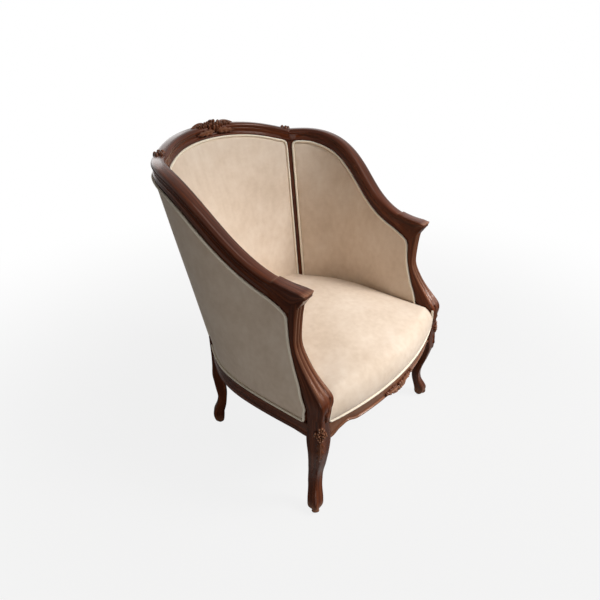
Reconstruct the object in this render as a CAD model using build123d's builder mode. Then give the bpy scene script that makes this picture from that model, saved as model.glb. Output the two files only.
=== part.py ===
from build123d import *
import math
import os

# Sizes in millimetres. The chair faces -y, x runs across it and z is up, with the floor at zero.
# Key points of the top rails on the right half: half width, distance back, height of the top face
crest_middle = (0, 343, 914)
crest_quarter = (95, 333, 910)
crest_shoulder = (178, 305, 898)
back_corner = (259, 254, 875)
arm_shoulder = (303, 196, 875)
arm_belly = (330, 96, 849)
arm_fall = (323, 0, 777)
arm_elbow = (305, -75, 706)
arm_wrist = (291, -160, 660)
arm_tip = (283, -265, 645)

# Sections of the top rails, where a share counts along the arm from the back corner
rail_width = 36
rail_height = 34
rail_round = 7
crest_shares = (0.07, 0.2, 0.35, 0.5, 0.65, 0.8, 0.93)
arm_start_share = 0.1
arm_width = 38
arm_height = 38
arm_shares = (0.26, 0.4, 0.54, 0.68)
hand_width = 32
hand_height = 41
hand_shares = (0.82, 0.9)
palm_share = 0.96
palm_width = 29
palm_height = 26
tip_width = 22
tip_height = 13
tip_round = 5

# Front legs: a square block at the rails and a cabriole below it
leg_block_x = 295
leg_block_y = -295
leg_block_size = 50
leg_block_bottom = 262
leg_block_top = 330
block_round = 3
front_foot_x = 309
front_foot_y = -293
front_leg_profile = (  # from the foot to the block at even steps: bulge outwards on the diagonal, side
    (0, 26), (4, 34), (-2, 32), (-11, 27), (-16, 25), (-16, 25), (-11, 26), (-4, 28), (2, 31), (6, 35),
    (8, 40), (4, 46))
corner_round_share = 0.25

# Back posts: a rear leg below the seat and a straight raked stile above it, turned to face the corner
post_base_x = 211
post_base_y = 171
post_base_size = 42
post_base_bottom = 262
post_base_top = 330
stile_size = 32
stile_start = 343
stile_housing = 4
rear_foot_x = 236
rear_foot_y = 170
rear_leg_profile = (
    (0, 26), (3, 34), (3, 36), (-4, 33), (-8, 30), (-9, 30), (-6, 32), (-3, 34), (0, 36), (2, 38),
    (1, 39), (0, 41))
post_turn = 45

# Arm posts: share of the height, front face behind the leg's front face, depth, width
arm_post_profile = (
    (0.00, 0, 47, 48), (0.05, -2, 50, 48), (0.16, -4, 62, 47), (0.27, 20, 49, 43),
    (0.37, 47, 36, 37), (0.49, 72, 23, 33), (0.59, 86, 17, 31), (0.72, 89, 19, 29),
    (0.88, 85, 26, 28), (1.00, 78, 38, 28))
post_round_share = 0.22
post_housing = 14

# Seat rails, with a rebate for the covers above the welt line
rail_thickness = 25
rail_bottom = 265
welt_line = 303
rail_top = 325
rebate = 12
front_bow = 41
side_rail_inset = 2
side_rail_middle = (323, -105)
side_rail_rear = (303, 45)
side_rail_bends = (0, 0.2, 0.4, 0.6, 0.8, 1)
rear_rail_middle = 245
post_face_out = 18
apron_drop = 14
apron_half_width = 62
apron_thickness = 12

# Tack rails inside the walls
tack_rail_bottom = 345
tack_rail_height = 34
tack_overlap = 8

# Depths of the layers of a wall, counted inwards from its outer face
outside_cover_thickness = 6.5
tack_rail_depth = 7.3
tack_rail_thickness = 12
lining_thickness = 2
side_wall = 38
back_wall = 36
cover_thickness = 2
side_crown = 14
back_crown = 20
edge_crown = 3
layer_steps = 7

# Upholstery of the seat and the welts
welt_diameter = 5
welt_gap = 1.1
welt_set_in = 3
welt_steps = 14
welt_corner = 4
sharp_turn = 30
least_turn = 2
post_welt_top = 0.85
cover_room = 12
fit_gap = 0.3
lining_gap = 1.1
webbing_width = 50
webbing_thickness = 2
webbing_count = 5
webbing_pitch_x = 78
webbing_pitch_y = 80
webbing_center_y = -80
burlap_thickness = 1.2
dust_cover_thickness = 1
dust_cover_overlap = 12
seat_crown_top = 425
seat_crown_y = -60
seat_side_height = 384
seat_front_height = 386
seat_rear_height = 392
seat_roll_depth = 46
seat_roll_base = 338
seat_sweep = 60

# Fasteners and feet
dowel_diameter = 8
dowel_length = 40
dowel_depth = 17
dowel_margin = 6
tack_dowel_diameter = 6
tack_dowel_length = 24
post_dowel_diameter = 10
post_dowel_length = 60
bore_gap = 0.1
block_height = 32
block_rise = 6
block_reach = 70
block_overlap = 8
rear_block_thickness = 25
screw_diameter = 6
screw_length = 60
screw_head_diameter = 12
screw_head_height = 3
glide_diameter = 18
glide_thickness = 3
glide_pin_diameter = 3
glide_pin_length = 16

# Directions and places worked out from the sizes above
up = Vector(0, 0, 1)
front_diagonal = Vector(1, -1, 0).normalized()
rear_diagonal = Vector(1, 1, 0).normalized()
leg_inner_x = leg_block_x - leg_block_size / 2
leg_outer_x = leg_block_x + leg_block_size / 2
leg_front_y = leg_block_y - leg_block_size / 2
leg_rear_y = leg_block_y + leg_block_size / 2
leg_block = Vector(leg_block_x, leg_block_y)
post_base = Vector(post_base_x, post_base_y)
welt_room = welt_diameter + 2 * welt_gap
channel = welt_room / 2
lining_depth = tack_rail_depth + tack_rail_thickness + lining_gap
foam_depth = lining_depth + lining_thickness + fit_gap
deck_height = rail_top + 2 * webbing_thickness + burlap_thickness


def mirrored(point):
    x, y, z = point
    return Vector(-x, y, z)


def square_plane(edge, share):
    # plane square to a rail's line, its x to the outside and its y upwards
    along = edge % share
    return Plane(edge @ share, x_dir=up.cross(along), z_dir=along)


def corner_plane(corner, along):
    return Plane(corner, x_dir=up.cross(along), z_dir=along)


def share_where(measure, target):
    # share of a line at which a measure that grows along it reaches a value
    low, high = 0, 1
    for _ in range(40):
        middle = (low + high) / 2
        if measure(middle) < target:
            low = middle
        else:
            high = middle
    return low


def rail_section(plane, width, height, radius, grow):
    # section of a rail that hangs from its top line, grown all round
    with BuildSketch(plane) as section:
        with Locations((0, grow)):
            RectangleRounded(
                width + 2 * grow, height + 2 * grow, radius + grow, align=(Align.CENTER, Align.MAX))
    return section.sketch


def level_section(center, height, width, depth, radius, grow, turn=0):
    # level section of a leg or a post, grown all round
    with BuildSketch(Plane((center.X, center.Y, height))) as section:
        RectangleRounded(width + 2 * grow, depth + 2 * grow, radius + grow, rotation=turn)
    return section.sketch


# Guide lines: the crest runs from left to right, the arm and the side rail from rear to front
with BuildLine() as crest_guide:
    Spline(
        mirrored(back_corner), mirrored(crest_shoulder), mirrored(crest_quarter), crest_middle,
        crest_quarter, crest_shoulder, back_corner)
with BuildLine() as arm_guide:
    Spline(back_corner, arm_shoulder, arm_belly, arm_fall, arm_elbow, arm_wrist, arm_tip)
side_rail_end = post_base + rear_diagonal * post_face_out
with BuildLine() as side_guide:
    Spline(
        (side_rail_end.X, side_rail_end.Y), (side_rail_rear[0], side_rail_rear[1]),
        (side_rail_middle[0], side_rail_middle[1]), (leg_outer_x - side_rail_inset, leg_block_y))
crest_edge = crest_guide.edges()[0]
arm_edge = arm_guide.edges()[0]
side_edge = side_guide.edges()[0]
mitre = (crest_edge % 1 + arm_edge % 0).normalized()
left_mitre = Vector(mitre.X, -mitre.Y, -mitre.Z)

# The bows of the front and rear rails are arcs about upright axes on the middle plane
front_radius = (leg_inner_x**2 + front_bow**2) / (2 * front_bow)
front_axis = leg_front_y - front_bow + front_radius
rear_sag = rear_rail_middle - side_rail_end.Y
rear_radius = (side_rail_end.X**2 + rear_sag**2) / (2 * rear_sag)
rear_axis = rear_rail_middle - rear_radius
front_sweep = math.asin((leg_inner_x + block_overlap) / front_radius)
rear_sweep = math.atan2(post_base_x, post_base_y - rear_axis)

# The arm post stands on the front leg and ends in the arm rail above it
post_top_y = leg_front_y + arm_post_profile[-1][1] + arm_post_profile[-1][2] / 2
post_share = share_where(lambda share: -(arm_edge @ share).Y, -post_top_y)
arm_over_post = arm_edge @ post_share
arm_post_top = arm_over_post.Z - hand_height + post_housing


def crest_sections(grow):
    places = [corner_plane(mirrored(back_corner), left_mitre)]
    places += [square_plane(crest_edge, share) for share in crest_shares]
    places += [corner_plane(back_corner, mitre)]
    return [rail_section(place, rail_width, rail_height, rail_round, grow) for place in places]


def arm_sections(grow):
    rows = [(arm_start_share, rail_width, rail_height, rail_round)]
    rows += [(share, arm_width, arm_height, rail_round) for share in arm_shares]
    rows += [(share, hand_width, hand_height, rail_round) for share in hand_shares]
    rows += [(palm_share, palm_width, palm_height, rail_round), (1, tip_width, tip_height, tip_round)]
    sections = [rail_section(corner_plane(back_corner, mitre), rail_width, rail_height, rail_round, grow)]
    for share, width, height, radius in rows:
        sections.append(rail_section(square_plane(arm_edge, share), width, height, radius, grow))
    return sections


def arm_post_at(share):
    # centre, depth and width of the arm post at a share of its height
    for low, high in zip(arm_post_profile, arm_post_profile[1:]):
        if share <= high[0]:
            break
    part = (share - low[0]) / (high[0] - low[0])
    offset, depth, width = (a + (b - a) * part for a, b in zip(low[1:], high[1:]))
    x = leg_block_x + (arm_over_post.X - leg_block_x) * share
    z = leg_block_top + (arm_post_top - leg_block_top) * share
    return Vector(x, leg_front_y + offset + depth / 2, z), depth, width


def arm_post_sections(grow):
    sections = []
    for row in arm_post_profile:
        center, depth, width = arm_post_at(row[0])
        sections.append(level_section(center, center.Z, width, depth, post_round_share * depth, grow))
    return sections


def leg_sections(foot, base, base_height, diagonal, profile, turn):
    # level sections from the foot up to the base that the leg carries
    sections = []
    for row, (bulge, side) in enumerate(profile):
        share = row / len(profile)
        center = foot + (base - foot) * share + diagonal * bulge
        height = glide_thickness + (base_height - glide_thickness) * share
        sections.append(level_section(center, height, side, side, corner_round_share * side, 0, turn))
    return sections


def stile_center(height):
    # centre of the back post at a height, upright at the seat rails and raked above them
    rise = max(0, height - post_base_top) / (back_corner[2] - rail_height - post_base_top)
    return post_base + Vector(back_corner[0] - post_base_x, back_corner[1] - post_base_y) * rise


def post_section(height, side):
    center = stile_center(height)
    return level_section(center, height, side, side, corner_round_share * side, 0, post_turn)


def side_points(inset):
    # points along the side rail at a depth behind its outer face
    points = []
    for share in side_rail_bends:
        point = side_edge @ share - up.cross(side_edge % share).normalized() * inset
        points.append((point.X, point.Y))
    return points


def side_band(outer, inner, base):
    # plan of a band along the side rail between two depths behind its outer face
    with BuildSketch(Plane.XY.offset(base)) as band:
        with BuildLine():
            near = Spline(*side_points(outer))
            far = Spline(*side_points(inner))
            Line(near @ 0, far @ 0)
            Line(near @ 1, far @ 1)
        make_face()
    return band.sketch


def bow_point(axis, radius, angle, facing):
    return (radius * math.sin(angle), axis + facing * radius * math.cos(angle))


def bow_band(axis, outer, inner, sweep_angle, facing, base):
    # plan of a band between two arcs about the same axis
    with BuildSketch(Plane.XY.offset(base)) as band:
        with BuildLine():
            ends = []
            for radius in (outer, inner):
                left = bow_point(axis, radius, -sweep_angle, facing)
                right = bow_point(axis, radius, sweep_angle, facing)
                ThreePointArc(left, bow_point(axis, radius, 0, facing), right)
                ends.append((left, right))
            Line(ends[0][0], ends[1][0])
            Line(ends[0][1], ends[1][1])
        make_face()
    return band.sketch


def largest(part):
    return part.solids().sort_by(SortBy.VOLUME)[-1]


# Bodies of the show-wood members, before their joints are cut
with BuildPart() as crest_body:
    loft(crest_sections(0))
with BuildPart() as arm_body:
    loft(arm_sections(0))
with BuildPart() as post_body:
    loft(arm_post_sections(0))
with BuildPart() as stile_body:
    extrude(post_section(post_base_bottom, post_base_size), amount=post_base_top - post_base_bottom)
    loft([post_section(post_base_top, post_base_size), post_section(stile_start, stile_size)])
    loft([
        post_section(stile_start, stile_size),
        post_section(back_corner[2] - rail_height + stile_housing, stile_size)])


def arm_size_at(share):
    # width and height of the arm rail at a share of its line
    rows = [(0, rail_width, rail_height), (arm_start_share, rail_width, rail_height)]
    rows += [(place, arm_width, arm_height) for place in arm_shares]
    rows += [(place, hand_width, hand_height) for place in hand_shares]
    rows += [(palm_share, palm_width, palm_height), (1, tip_width, tip_height)]
    for low, high in zip(rows, rows[1:]):
        if share <= high[0]:
            break
    part = (share - low[0]) / (high[0] - low[0])
    return low[1] + (high[1] - low[1]) * part, low[2] + (high[2] - low[2]) * part


def layer_section(station, outer, inner, outer_swell, inner_swell):
    # section of a wall from its foot to its head, between two depths behind the outer face
    low, high, out = station
    plane = Plane(low, x_dir=out, z_dir=out.cross(high - low))
    top = plane.to_local_coords(high)
    with BuildSketch(plane) as section:
        with BuildLine():
            for depth, swell in ((outer, outer_swell), (inner, inner_swell)):
                foot = Vector(-depth, 0)
                head = Vector(top.X - depth, top.Y)
                if swell:
                    ThreePointArc(foot, (foot + head) / 2 - Vector(swell, 0), head)
                else:
                    Line(foot, head)
            Line((-outer, 0), (-inner, 0))
            Line((top.X - outer, top.Y), (top.X - inner, top.Y))
        make_face()
    return section.sketch


def down_to_rail(low, high):
    # foot of a wall's line carried on down to the underside of the seat rails
    return low - (high - low) * (post_base_top - rail_bottom) / (high.Z - low.Z)


def side_station(share, room):
    # foot, head and outward direction of the right wall at a share from the stile to the arm post
    reach = stile_size / 2 + room
    arm_start = share_where(lambda s: (arm_edge @ s - Vector(*back_corner)).dot(front_diagonal), reach)
    rail_start = share_where(lambda s: (side_edge @ s - post_base).dot(front_diagonal), reach)
    arm_share = arm_start + (post_share - arm_start) * share
    rail_share = rail_start + (1 - rail_start) * share
    rail = square_plane(arm_edge, arm_share)
    width, height = arm_size_at(arm_share)
    low = side_edge @ rail_share + up * post_base_top
    high = rail.from_local_coords((width / 2, -height - max(room, 0), 0))
    out = (up.cross(side_edge % rail_share).normalized() + rail.x_dir).normalized()
    return down_to_rail(low, high), high, out if share else rear_diagonal


def back_station(share, room):
    # foot, head and outward direction of the back at a share from the left stile to the right one
    reach = stile_size / 2 + room
    crest_start = share_where(
        lambda s: (crest_edge @ s - mirrored(back_corner)).dot(rear_diagonal), reach)
    rail = square_plane(crest_edge, crest_start + (1 - 2 * crest_start) * share)
    angle = (rear_sweep - reach / rear_radius) * (2 * share - 1)
    low = Vector(*bow_point(rear_axis, rear_radius, angle, 1), post_base_top)
    high = rail.from_local_coords((rail_width / 2, -rail_height - max(room, 0), 0))
    out = (Vector(math.sin(angle), math.cos(angle)) + rail.x_dir).normalized()
    if share == 0:
        out = mirrored(rear_diagonal)
    if share == 1:
        out = rear_diagonal
    return down_to_rail(low, high), high, out


def wall_point(station, height, depth):
    # point of a wall at a height and a depth behind its outer face
    low, high, out = station
    return low + (high - low) * (height - low.Z) / (high.Z - low.Z) - out * depth


def wall_layer(stations, outer, inner, outer_crown, inner_crown, bottom):
    # layer of a wall between two depths, swelling most in its middle, cut off level at its foot
    sections = []
    for step in range(layer_steps + 1):
        share = step / layer_steps
        middle = math.sin(math.pi * share)
        swells = []
        for crown in (outer_crown, inner_crown):
            swells.append(edge_crown + (crown - edge_crown) * middle if crown else 0)
        sections.append(layer_section(stations[step], outer, inner, *swells))
    with BuildPart() as layer:
        loft(sections)
        split(bisect_by=Plane.XY.offset(bottom), keep=Keep.TOP)
    return layer.part


layer_shares = [step / layer_steps for step in range(layer_steps + 1)]
side_stations = [side_station(share, cover_room) for share in layer_shares]
back_stations = [back_station(share, cover_room) for share in layer_shares]
side_tack_stations = [side_station(share, -tack_overlap) for share in layer_shares]
back_tack_stations = [back_station(share, -tack_overlap) for share in layer_shares]


def grown_post(grow):
    # arm post and leg block grown all round, to trim what ends at them
    with BuildPart() as grown:
        loft(arm_post_sections(grow))
        with Locations((leg_block_x, leg_block_y, (leg_block_bottom + leg_block_top) / 2)):
            Box(
                leg_block_size + 2 * grow, leg_block_size + 2 * grow,
                leg_block_top - leg_block_bottom + 2 * grow)
    return grown.part


def side_piece(outer, inner, outer_crown, inner_crown, bottom):
    with BuildPart() as piece:
        add(wall_layer(side_stations, outer, inner, outer_crown, inner_crown, bottom))
        add(grown_post(cover_room + 2 * welt_gap), mode=Mode.SUBTRACT)
    return largest(piece.part)


# Dowels and the bores for them, right half: middle of the dowel, its direction, diameter and length
rail_face = rear_diagonal * (post_face_out - dowel_depth)
tack_height = tack_rail_bottom + tack_rail_height / 2
side_rail_levels = (rail_bottom + dowel_margin, rail_top - dowel_margin)
screw_level = rail_bottom + block_rise + block_height * 2 / 3
rear_rail_levels = (screw_level - dowel_diameter, screw_level + dowel_diameter)
front_rail_levels = (rail_bottom + dowel_margin, rail_bottom + dowel_margin + 1.5 * dowel_diameter)
front_rail_y = leg_front_y + dowel_depth
front_turn = math.asin(leg_inner_x / front_radius)
side_rail_x = leg_outer_x - side_rail_inset - dowel_depth
base_face = post_base_size / 2
rear_along = Vector(math.cos(rear_sweep), -math.sin(rear_sweep))
front_along = Vector(math.cos(front_turn), math.sin(front_turn))
seat_rail_places = [(Vector(leg_inner_x, front_rail_y, z), front_along) for z in front_rail_levels]
seat_rail_places += [(Vector(side_rail_x, leg_rear_y, z), Vector(0, 1, 0)) for z in side_rail_levels]
seat_rail_places += [
    (post_base + rail_face + front_diagonal * base_face + up * z, front_diagonal) for z in side_rail_levels]
seat_rail_places += [
    (post_base + rail_face - front_diagonal * base_face + up * z, rear_along) for z in rear_rail_levels]
tack_depth = tack_rail_depth + tack_rail_thickness / 2
tack_rail_places = []
for near, far in ((side_stations[0], side_stations[1]), (back_stations[-1], back_stations[-2])):
    start = wall_point(near, tack_height, tack_depth)
    along = (wall_point(far, tack_height, tack_depth) - start).normalized()
    tack_rail_places.append((start - along * cover_room, along))
mitre_middle = Vector(*back_corner) - up * rail_height / 2
mitre_side = up.cross(mitre).normalized() * (rail_width / 2 - dowel_diameter)
mitre_places = [(mitre_middle + mitre_side, mitre), (mitre_middle - mitre_side, mitre)]
stile_top = stile_center(back_corner[2] - rail_height) + up * (back_corner[2] - rail_height)
arm_seat = Vector(arm_over_post.X, arm_over_post.Y, arm_over_post.Z - hand_height)
leg_seat = Vector(leg_block_x, leg_block_y, leg_block_top)


def pins(places, diameter, length):
    # round pins on the right half and their mirror images on the left half
    with BuildPart() as group:
        for middle, along in places:
            with Locations(Plane(middle, z_dir=along)):
                Cylinder(diameter / 2, length)
        mirror(about=Plane.YZ)
    return group.part


pin_sets = (
    ("seat_rail_dowels", seat_rail_places, dowel_diameter, dowel_length),
    ("tack_rail_dowels", tack_rail_places, tack_dowel_diameter, tack_dowel_length),
    ("crest_dowels", mitre_places, dowel_diameter, dowel_length),
    ("stile_dowels", [(stile_top, up)], dowel_diameter, dowel_length),
    ("arm_dowels", [(arm_seat, up)], dowel_diameter, dowel_length),
    ("arm_post_dowels", [(leg_seat, up)], post_dowel_diameter, post_dowel_length))
with BuildPart() as pin_bores:
    for _, places, diameter, length in pin_sets:
        add(pins(places, diameter + 2 * bore_gap, length + 2 * bore_gap))

# Corner blocks are level polygons that lap the rails, and their screws run into the legs
inner_front = front_radius - rail_thickness
inner_rear = rear_radius - rail_thickness
front_block_angle = math.asin((leg_inner_x - block_reach) / inner_front)
rear_block_angle = rear_sweep - (block_reach + base_face) / rear_radius
front_block_share = share_where(lambda s: -(side_edge @ s).Y, -leg_rear_y - block_reach)
rear_block_share = share_where(lambda s: (side_edge @ s - post_base).dot(front_diagonal), block_reach + base_face)


def side_inner(share, depth):
    point = side_edge @ share - up.cross(side_edge % share).normalized() * depth
    return Vector(point.X, point.Y)


front_block_corners = (
    Vector(*bow_point(front_axis, inner_front + block_overlap, front_block_angle, -1)),
    Vector(leg_inner_x, leg_front_y + block_overlap), Vector(leg_outer_x - block_overlap, leg_rear_y),
    side_inner(front_block_share, rail_thickness - block_overlap))
rear_block_back = Vector(*bow_point(rear_axis, inner_rear + block_overlap, rear_block_angle, 1))
rear_block_side = side_inner(rear_block_share, rail_thickness - block_overlap)
rear_block_in = up.cross(rear_block_side - rear_block_back).normalized() * -rear_block_thickness
rear_block_corners = (
    rear_block_back + rear_block_in, rear_block_back, post_base, rear_block_side,
    rear_block_side + rear_block_in)


def screw_place(corners):
    # the screw stands square on the block's long face and points at the leg
    along = (corners[-1] - corners[0]).normalized()
    inwards = along.cross(up)
    if inwards.dot(corners[1] - corners[0]) < 0:
        inwards = -inwards
    return (corners[0] + corners[-1]) / 2 + up * screw_level, inwards


all_screws = (screw_place(front_block_corners), screw_place(rear_block_corners))
with BuildPart() as screw_bores:
    for seat, inwards in all_screws:
        with Locations(Plane(seat, z_dir=inwards)):
            Cylinder(
                screw_diameter / 2 + bore_gap, screw_length + bore_gap, align=(Align.CENTER, Align.CENTER, Align.MIN))
    mirror(about=Plane.YZ)
with BuildPart() as corner_block_screws:
    for seat, inwards in all_screws:
        with Locations(Plane(seat, z_dir=inwards)):
            Cylinder(screw_diameter / 2, screw_length, align=(Align.CENTER, Align.CENTER, Align.MIN))
            Cylinder(
                screw_head_diameter / 2, screw_head_height, align=(Align.CENTER, Align.CENTER, Align.MAX))
    mirror(about=Plane.YZ)

# Glides under the feet, each a disc with a pin driven into the leg
front_foot = Vector(front_foot_x, front_foot_y)
rear_foot = Vector(rear_foot_x, rear_foot_y)
with BuildPart() as glide_bores:
    with Locations(front_foot, rear_foot):
        Cylinder(
            glide_pin_diameter / 2 + bore_gap, glide_thickness + glide_pin_length + bore_gap,
            align=(Align.CENTER, Align.CENTER, Align.MIN))
    mirror(about=Plane.YZ)
with BuildPart() as foot_glides:
    with Locations(front_foot, rear_foot):
        Cylinder(glide_diameter / 2, glide_thickness, align=(Align.CENTER, Align.CENTER, Align.MIN))
        Cylinder(
            glide_pin_diameter / 2, glide_thickness + glide_pin_length, align=(Align.CENTER, Align.CENTER, Align.MIN))
    mirror(about=Plane.YZ)

# Show-wood members
with BuildPart() as crest_rail:
    add(crest_body.part)
    add(pin_bores.part, mode=Mode.SUBTRACT)
with BuildPart() as right_arm_rail:
    add(arm_body.part)
    add(pin_bores.part, mode=Mode.SUBTRACT)
with BuildPart() as right_arm_post:
    add(post_body.part)
    add(arm_body.part, mode=Mode.SUBTRACT)
    add(pin_bores.part, mode=Mode.SUBTRACT)
with BuildPart() as right_front_leg:
    block_foot = level_section(leg_block, leg_block_bottom, leg_block_size, leg_block_size, block_round, 0)
    loft([
        *leg_sections(front_foot, leg_block, leg_block_bottom, front_diagonal, front_leg_profile, 0),
        block_foot])
    extrude(block_foot, amount=leg_block_top - leg_block_bottom)
    add(pin_bores.part, mode=Mode.SUBTRACT)
    add(screw_bores.part, mode=Mode.SUBTRACT)
    add(glide_bores.part, mode=Mode.SUBTRACT)
with BuildPart() as back_post_body:
    loft([
        *leg_sections(rear_foot, post_base, post_base_bottom, rear_diagonal, rear_leg_profile, post_turn),
        post_section(post_base_bottom, post_base_size)])
    add(stile_body.part)
    add(arm_body.part, mode=Mode.SUBTRACT)
    add(crest_body.part, mode=Mode.SUBTRACT)
with BuildPart() as right_back_post:
    add(largest(back_post_body.part))
    add(pin_bores.part, mode=Mode.SUBTRACT)
    add(screw_bores.part, mode=Mode.SUBTRACT)
    add(glide_bores.part, mode=Mode.SUBTRACT)

# Seat rails: full thickness up to the welt line, set back by the rebate above it
with BuildPart() as front_apron:
    extrude(
        bow_band(front_axis, front_radius, front_radius - apron_thickness, front_sweep, -1, rail_bottom - apron_drop),
        amount=apron_drop)
    with BuildSketch(Plane.XZ) as apron_face:
        with BuildLine():
            ThreePointArc(
                (-apron_half_width, rail_bottom), (0, rail_bottom - apron_drop), (apron_half_width, rail_bottom))
            Line((apron_half_width, rail_bottom), (-apron_half_width, rail_bottom))
        make_face()
    extrude(amount=front_radius, mode=Mode.INTERSECT)
with BuildPart() as front_rail_body:
    extrude(
        bow_band(front_axis, front_radius, inner_front, front_sweep, -1, rail_bottom), amount=welt_line - rail_bottom)
    extrude(
        bow_band(front_axis, front_radius - rebate, inner_front, front_sweep, -1, welt_line),
        amount=rail_top - welt_line)
    add(front_apron.part)
    with Locations((leg_block_x, leg_block_y, leg_block_top), (-leg_block_x, leg_block_y, leg_block_top)):
        Box(
            leg_block_size, leg_block_size, 2 * leg_block_top, mode=Mode.SUBTRACT)
with BuildPart() as front_seat_rail:
    add(largest(front_rail_body.part))
    add(pin_bores.part, mode=Mode.SUBTRACT)
with BuildPart() as side_rail_body:
    extrude(side_band(0, rail_thickness, rail_bottom), amount=welt_line - rail_bottom)
    extrude(side_band(rebate, rail_thickness, welt_line), amount=rail_top + webbing_thickness - welt_line)
    with Locations((leg_block_x, leg_block_y, leg_block_top)):
        Box(leg_block_size, leg_block_size, 2 * leg_block_top, mode=Mode.SUBTRACT)
    add(stile_body.part, mode=Mode.SUBTRACT)
with BuildPart() as right_seat_rail:
    add(largest(side_rail_body.part))
    add(pin_bores.part, mode=Mode.SUBTRACT)
with BuildPart() as rear_rail_body:
    extrude(
        bow_band(rear_axis, rear_radius, inner_rear, rear_sweep, 1, rail_bottom), amount=welt_line - rail_bottom)
    extrude(
        bow_band(rear_axis, rear_radius - rebate, inner_rear, rear_sweep, 1, welt_line),
        amount=rail_top - welt_line)
    add(stile_body.part, mode=Mode.SUBTRACT)
    add(mirror(stile_body.part, about=Plane.YZ), mode=Mode.SUBTRACT)
with BuildPart() as rear_seat_rail:
    add(largest(rear_rail_body.part))
    add(pin_bores.part, mode=Mode.SUBTRACT)

# Tack rails close the walls' openings just above the seat
with BuildPart() as back_tack_body:
    add(wall_layer(
        back_tack_stations, tack_rail_depth, tack_rail_depth + tack_rail_thickness, 0, 0, tack_rail_bottom))
    split(bisect_by=Plane.XY.offset(tack_rail_bottom + tack_rail_height), keep=Keep.BOTTOM)
    add(stile_body.part, mode=Mode.SUBTRACT)
    add(mirror(stile_body.part, about=Plane.YZ), mode=Mode.SUBTRACT)
with BuildPart() as lower_back_rail:
    add(largest(back_tack_body.part))
    add(pin_bores.part, mode=Mode.SUBTRACT)
with BuildPart() as side_tack_body:
    add(wall_layer(
        side_tack_stations, tack_rail_depth, tack_rail_depth + tack_rail_thickness, 0, 0, tack_rail_bottom))
    split(bisect_by=Plane.XY.offset(tack_rail_bottom + tack_rail_height), keep=Keep.BOTTOM)
    add(stile_body.part, mode=Mode.SUBTRACT)
    add(post_body.part, mode=Mode.SUBTRACT)
with BuildPart() as right_tack_rail:
    add(largest(side_tack_body.part))
    add(pin_bores.part, mode=Mode.SUBTRACT)

# Corner blocks inside the seat frame
with BuildPart() as front_block_body:
    with BuildSketch(Plane.XY.offset(rail_bottom + block_rise)):
        with BuildLine():
            Polyline(*front_block_corners, close=True)
        make_face()
    extrude(amount=block_height)
    for member in (right_front_leg, front_seat_rail, right_seat_rail, screw_bores):
        add(member.part, mode=Mode.SUBTRACT)
with BuildPart() as right_front_corner_block:
    add(largest(front_block_body.part))
with BuildPart() as rear_block_body:
    with BuildSketch(Plane.XY.offset(rail_bottom + block_rise)):
        with BuildLine():
            Polyline(*rear_block_corners, close=True)
        make_face()
    extrude(amount=block_height)
    for member in (stile_body, rear_seat_rail, right_seat_rail, screw_bores):
        add(member.part, mode=Mode.SUBTRACT)
with BuildPart() as right_rear_corner_block:
    add(largest(rear_block_body.part))


def deck_plan(inset, base):
    # plan of the seat frame, a distance inside the outer faces of its rails
    right = side_points(inset)
    left = [(-x, y) for x, y in reversed(right)]
    front_angle = math.asin(right[-1][0] / (front_radius - inset))
    front_right = bow_point(front_axis, front_radius - inset, front_angle, -1)
    with BuildSketch(Plane.XY.offset(base)) as plan:
        with BuildLine():
            Spline(*right)
            Line(right[-1], front_right)
            ThreePointArc(
                front_right, bow_point(front_axis, front_radius - inset, 0, -1),
                (-front_right[0], front_right[1]))
            Line((-front_right[0], front_right[1]), left[0])
            Spline(*left)
            ThreePointArc(left[-1], bow_point(rear_axis, rear_radius - inset, 0, 1), right[0])
        make_face()
    return plan.sketch


def posts_room(grow):
    # room that flat sheets in the seat frame keep from its four posts
    with BuildPart() as room:
        with Locations((leg_block_x, leg_block_y, leg_block_top)):
            Box(leg_block_size + 2 * grow, leg_block_size + 2 * grow, 2 * leg_block_top)
        with Locations(Location((post_base_x, post_base_y, post_base_top), (0, 0, post_turn))):
            Box(post_base_size + 2 * grow, post_base_size + 2 * grow, 2 * post_base_top)
        mirror(about=Plane.YZ)
    return room.part


# Webbing, burlap and dust cover of the seat
web_inset = rebate + fit_gap
strap_reach = 2 * front_radius
with BuildPart() as strap_bodies_lengthwise:
    with Locations((0, 0, rail_top + webbing_thickness / 2)):
        with GridLocations(webbing_pitch_x, 0, webbing_count, 1):
            Box(webbing_width, strap_reach, webbing_thickness)
with BuildPart() as seat_webbing_lengthwise:
    extrude(deck_plan(web_inset, rail_top), amount=webbing_thickness)
    add(strap_bodies_lengthwise.part, mode=Mode.INTERSECT)
with BuildPart() as strap_bodies_crosswise:
    with Locations((0, webbing_center_y, rail_top + webbing_thickness * 3 / 2)):
        with GridLocations(0, webbing_pitch_y, 1, webbing_count):
            Box(strap_reach, webbing_width, webbing_thickness)
with BuildPart() as seat_webbing_crosswise:
    extrude(deck_plan(web_inset, rail_top + webbing_thickness), amount=webbing_thickness)
    add(strap_bodies_crosswise.part, mode=Mode.INTERSECT)
with BuildPart() as seat_burlap:
    extrude(deck_plan(web_inset, rail_top + 2 * webbing_thickness), amount=burlap_thickness)
    add(posts_room(fit_gap), mode=Mode.SUBTRACT)
with BuildPart() as dust_cover:
    extrude(
        deck_plan(rail_thickness - dust_cover_overlap, rail_bottom - dust_cover_thickness),
        amount=dust_cover_thickness)
    add(posts_room(fit_gap), mode=Mode.SUBTRACT)


def stile_room(height, gap):
    # level section of the room that the seat leaves for the stile and the ends of the walls beside it
    face = stile_center(height) + up * height - rear_diagonal * (post_base_size / 2 + gap)
    with BuildSketch(Plane(face, x_dir=rear_diagonal)) as section:
        Rectangle(
            2 * post_base_size, stile_size + 2 * (2 * cover_room + gap), align=(Align.MIN, Align.CENTER))
    return section.sketch


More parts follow.
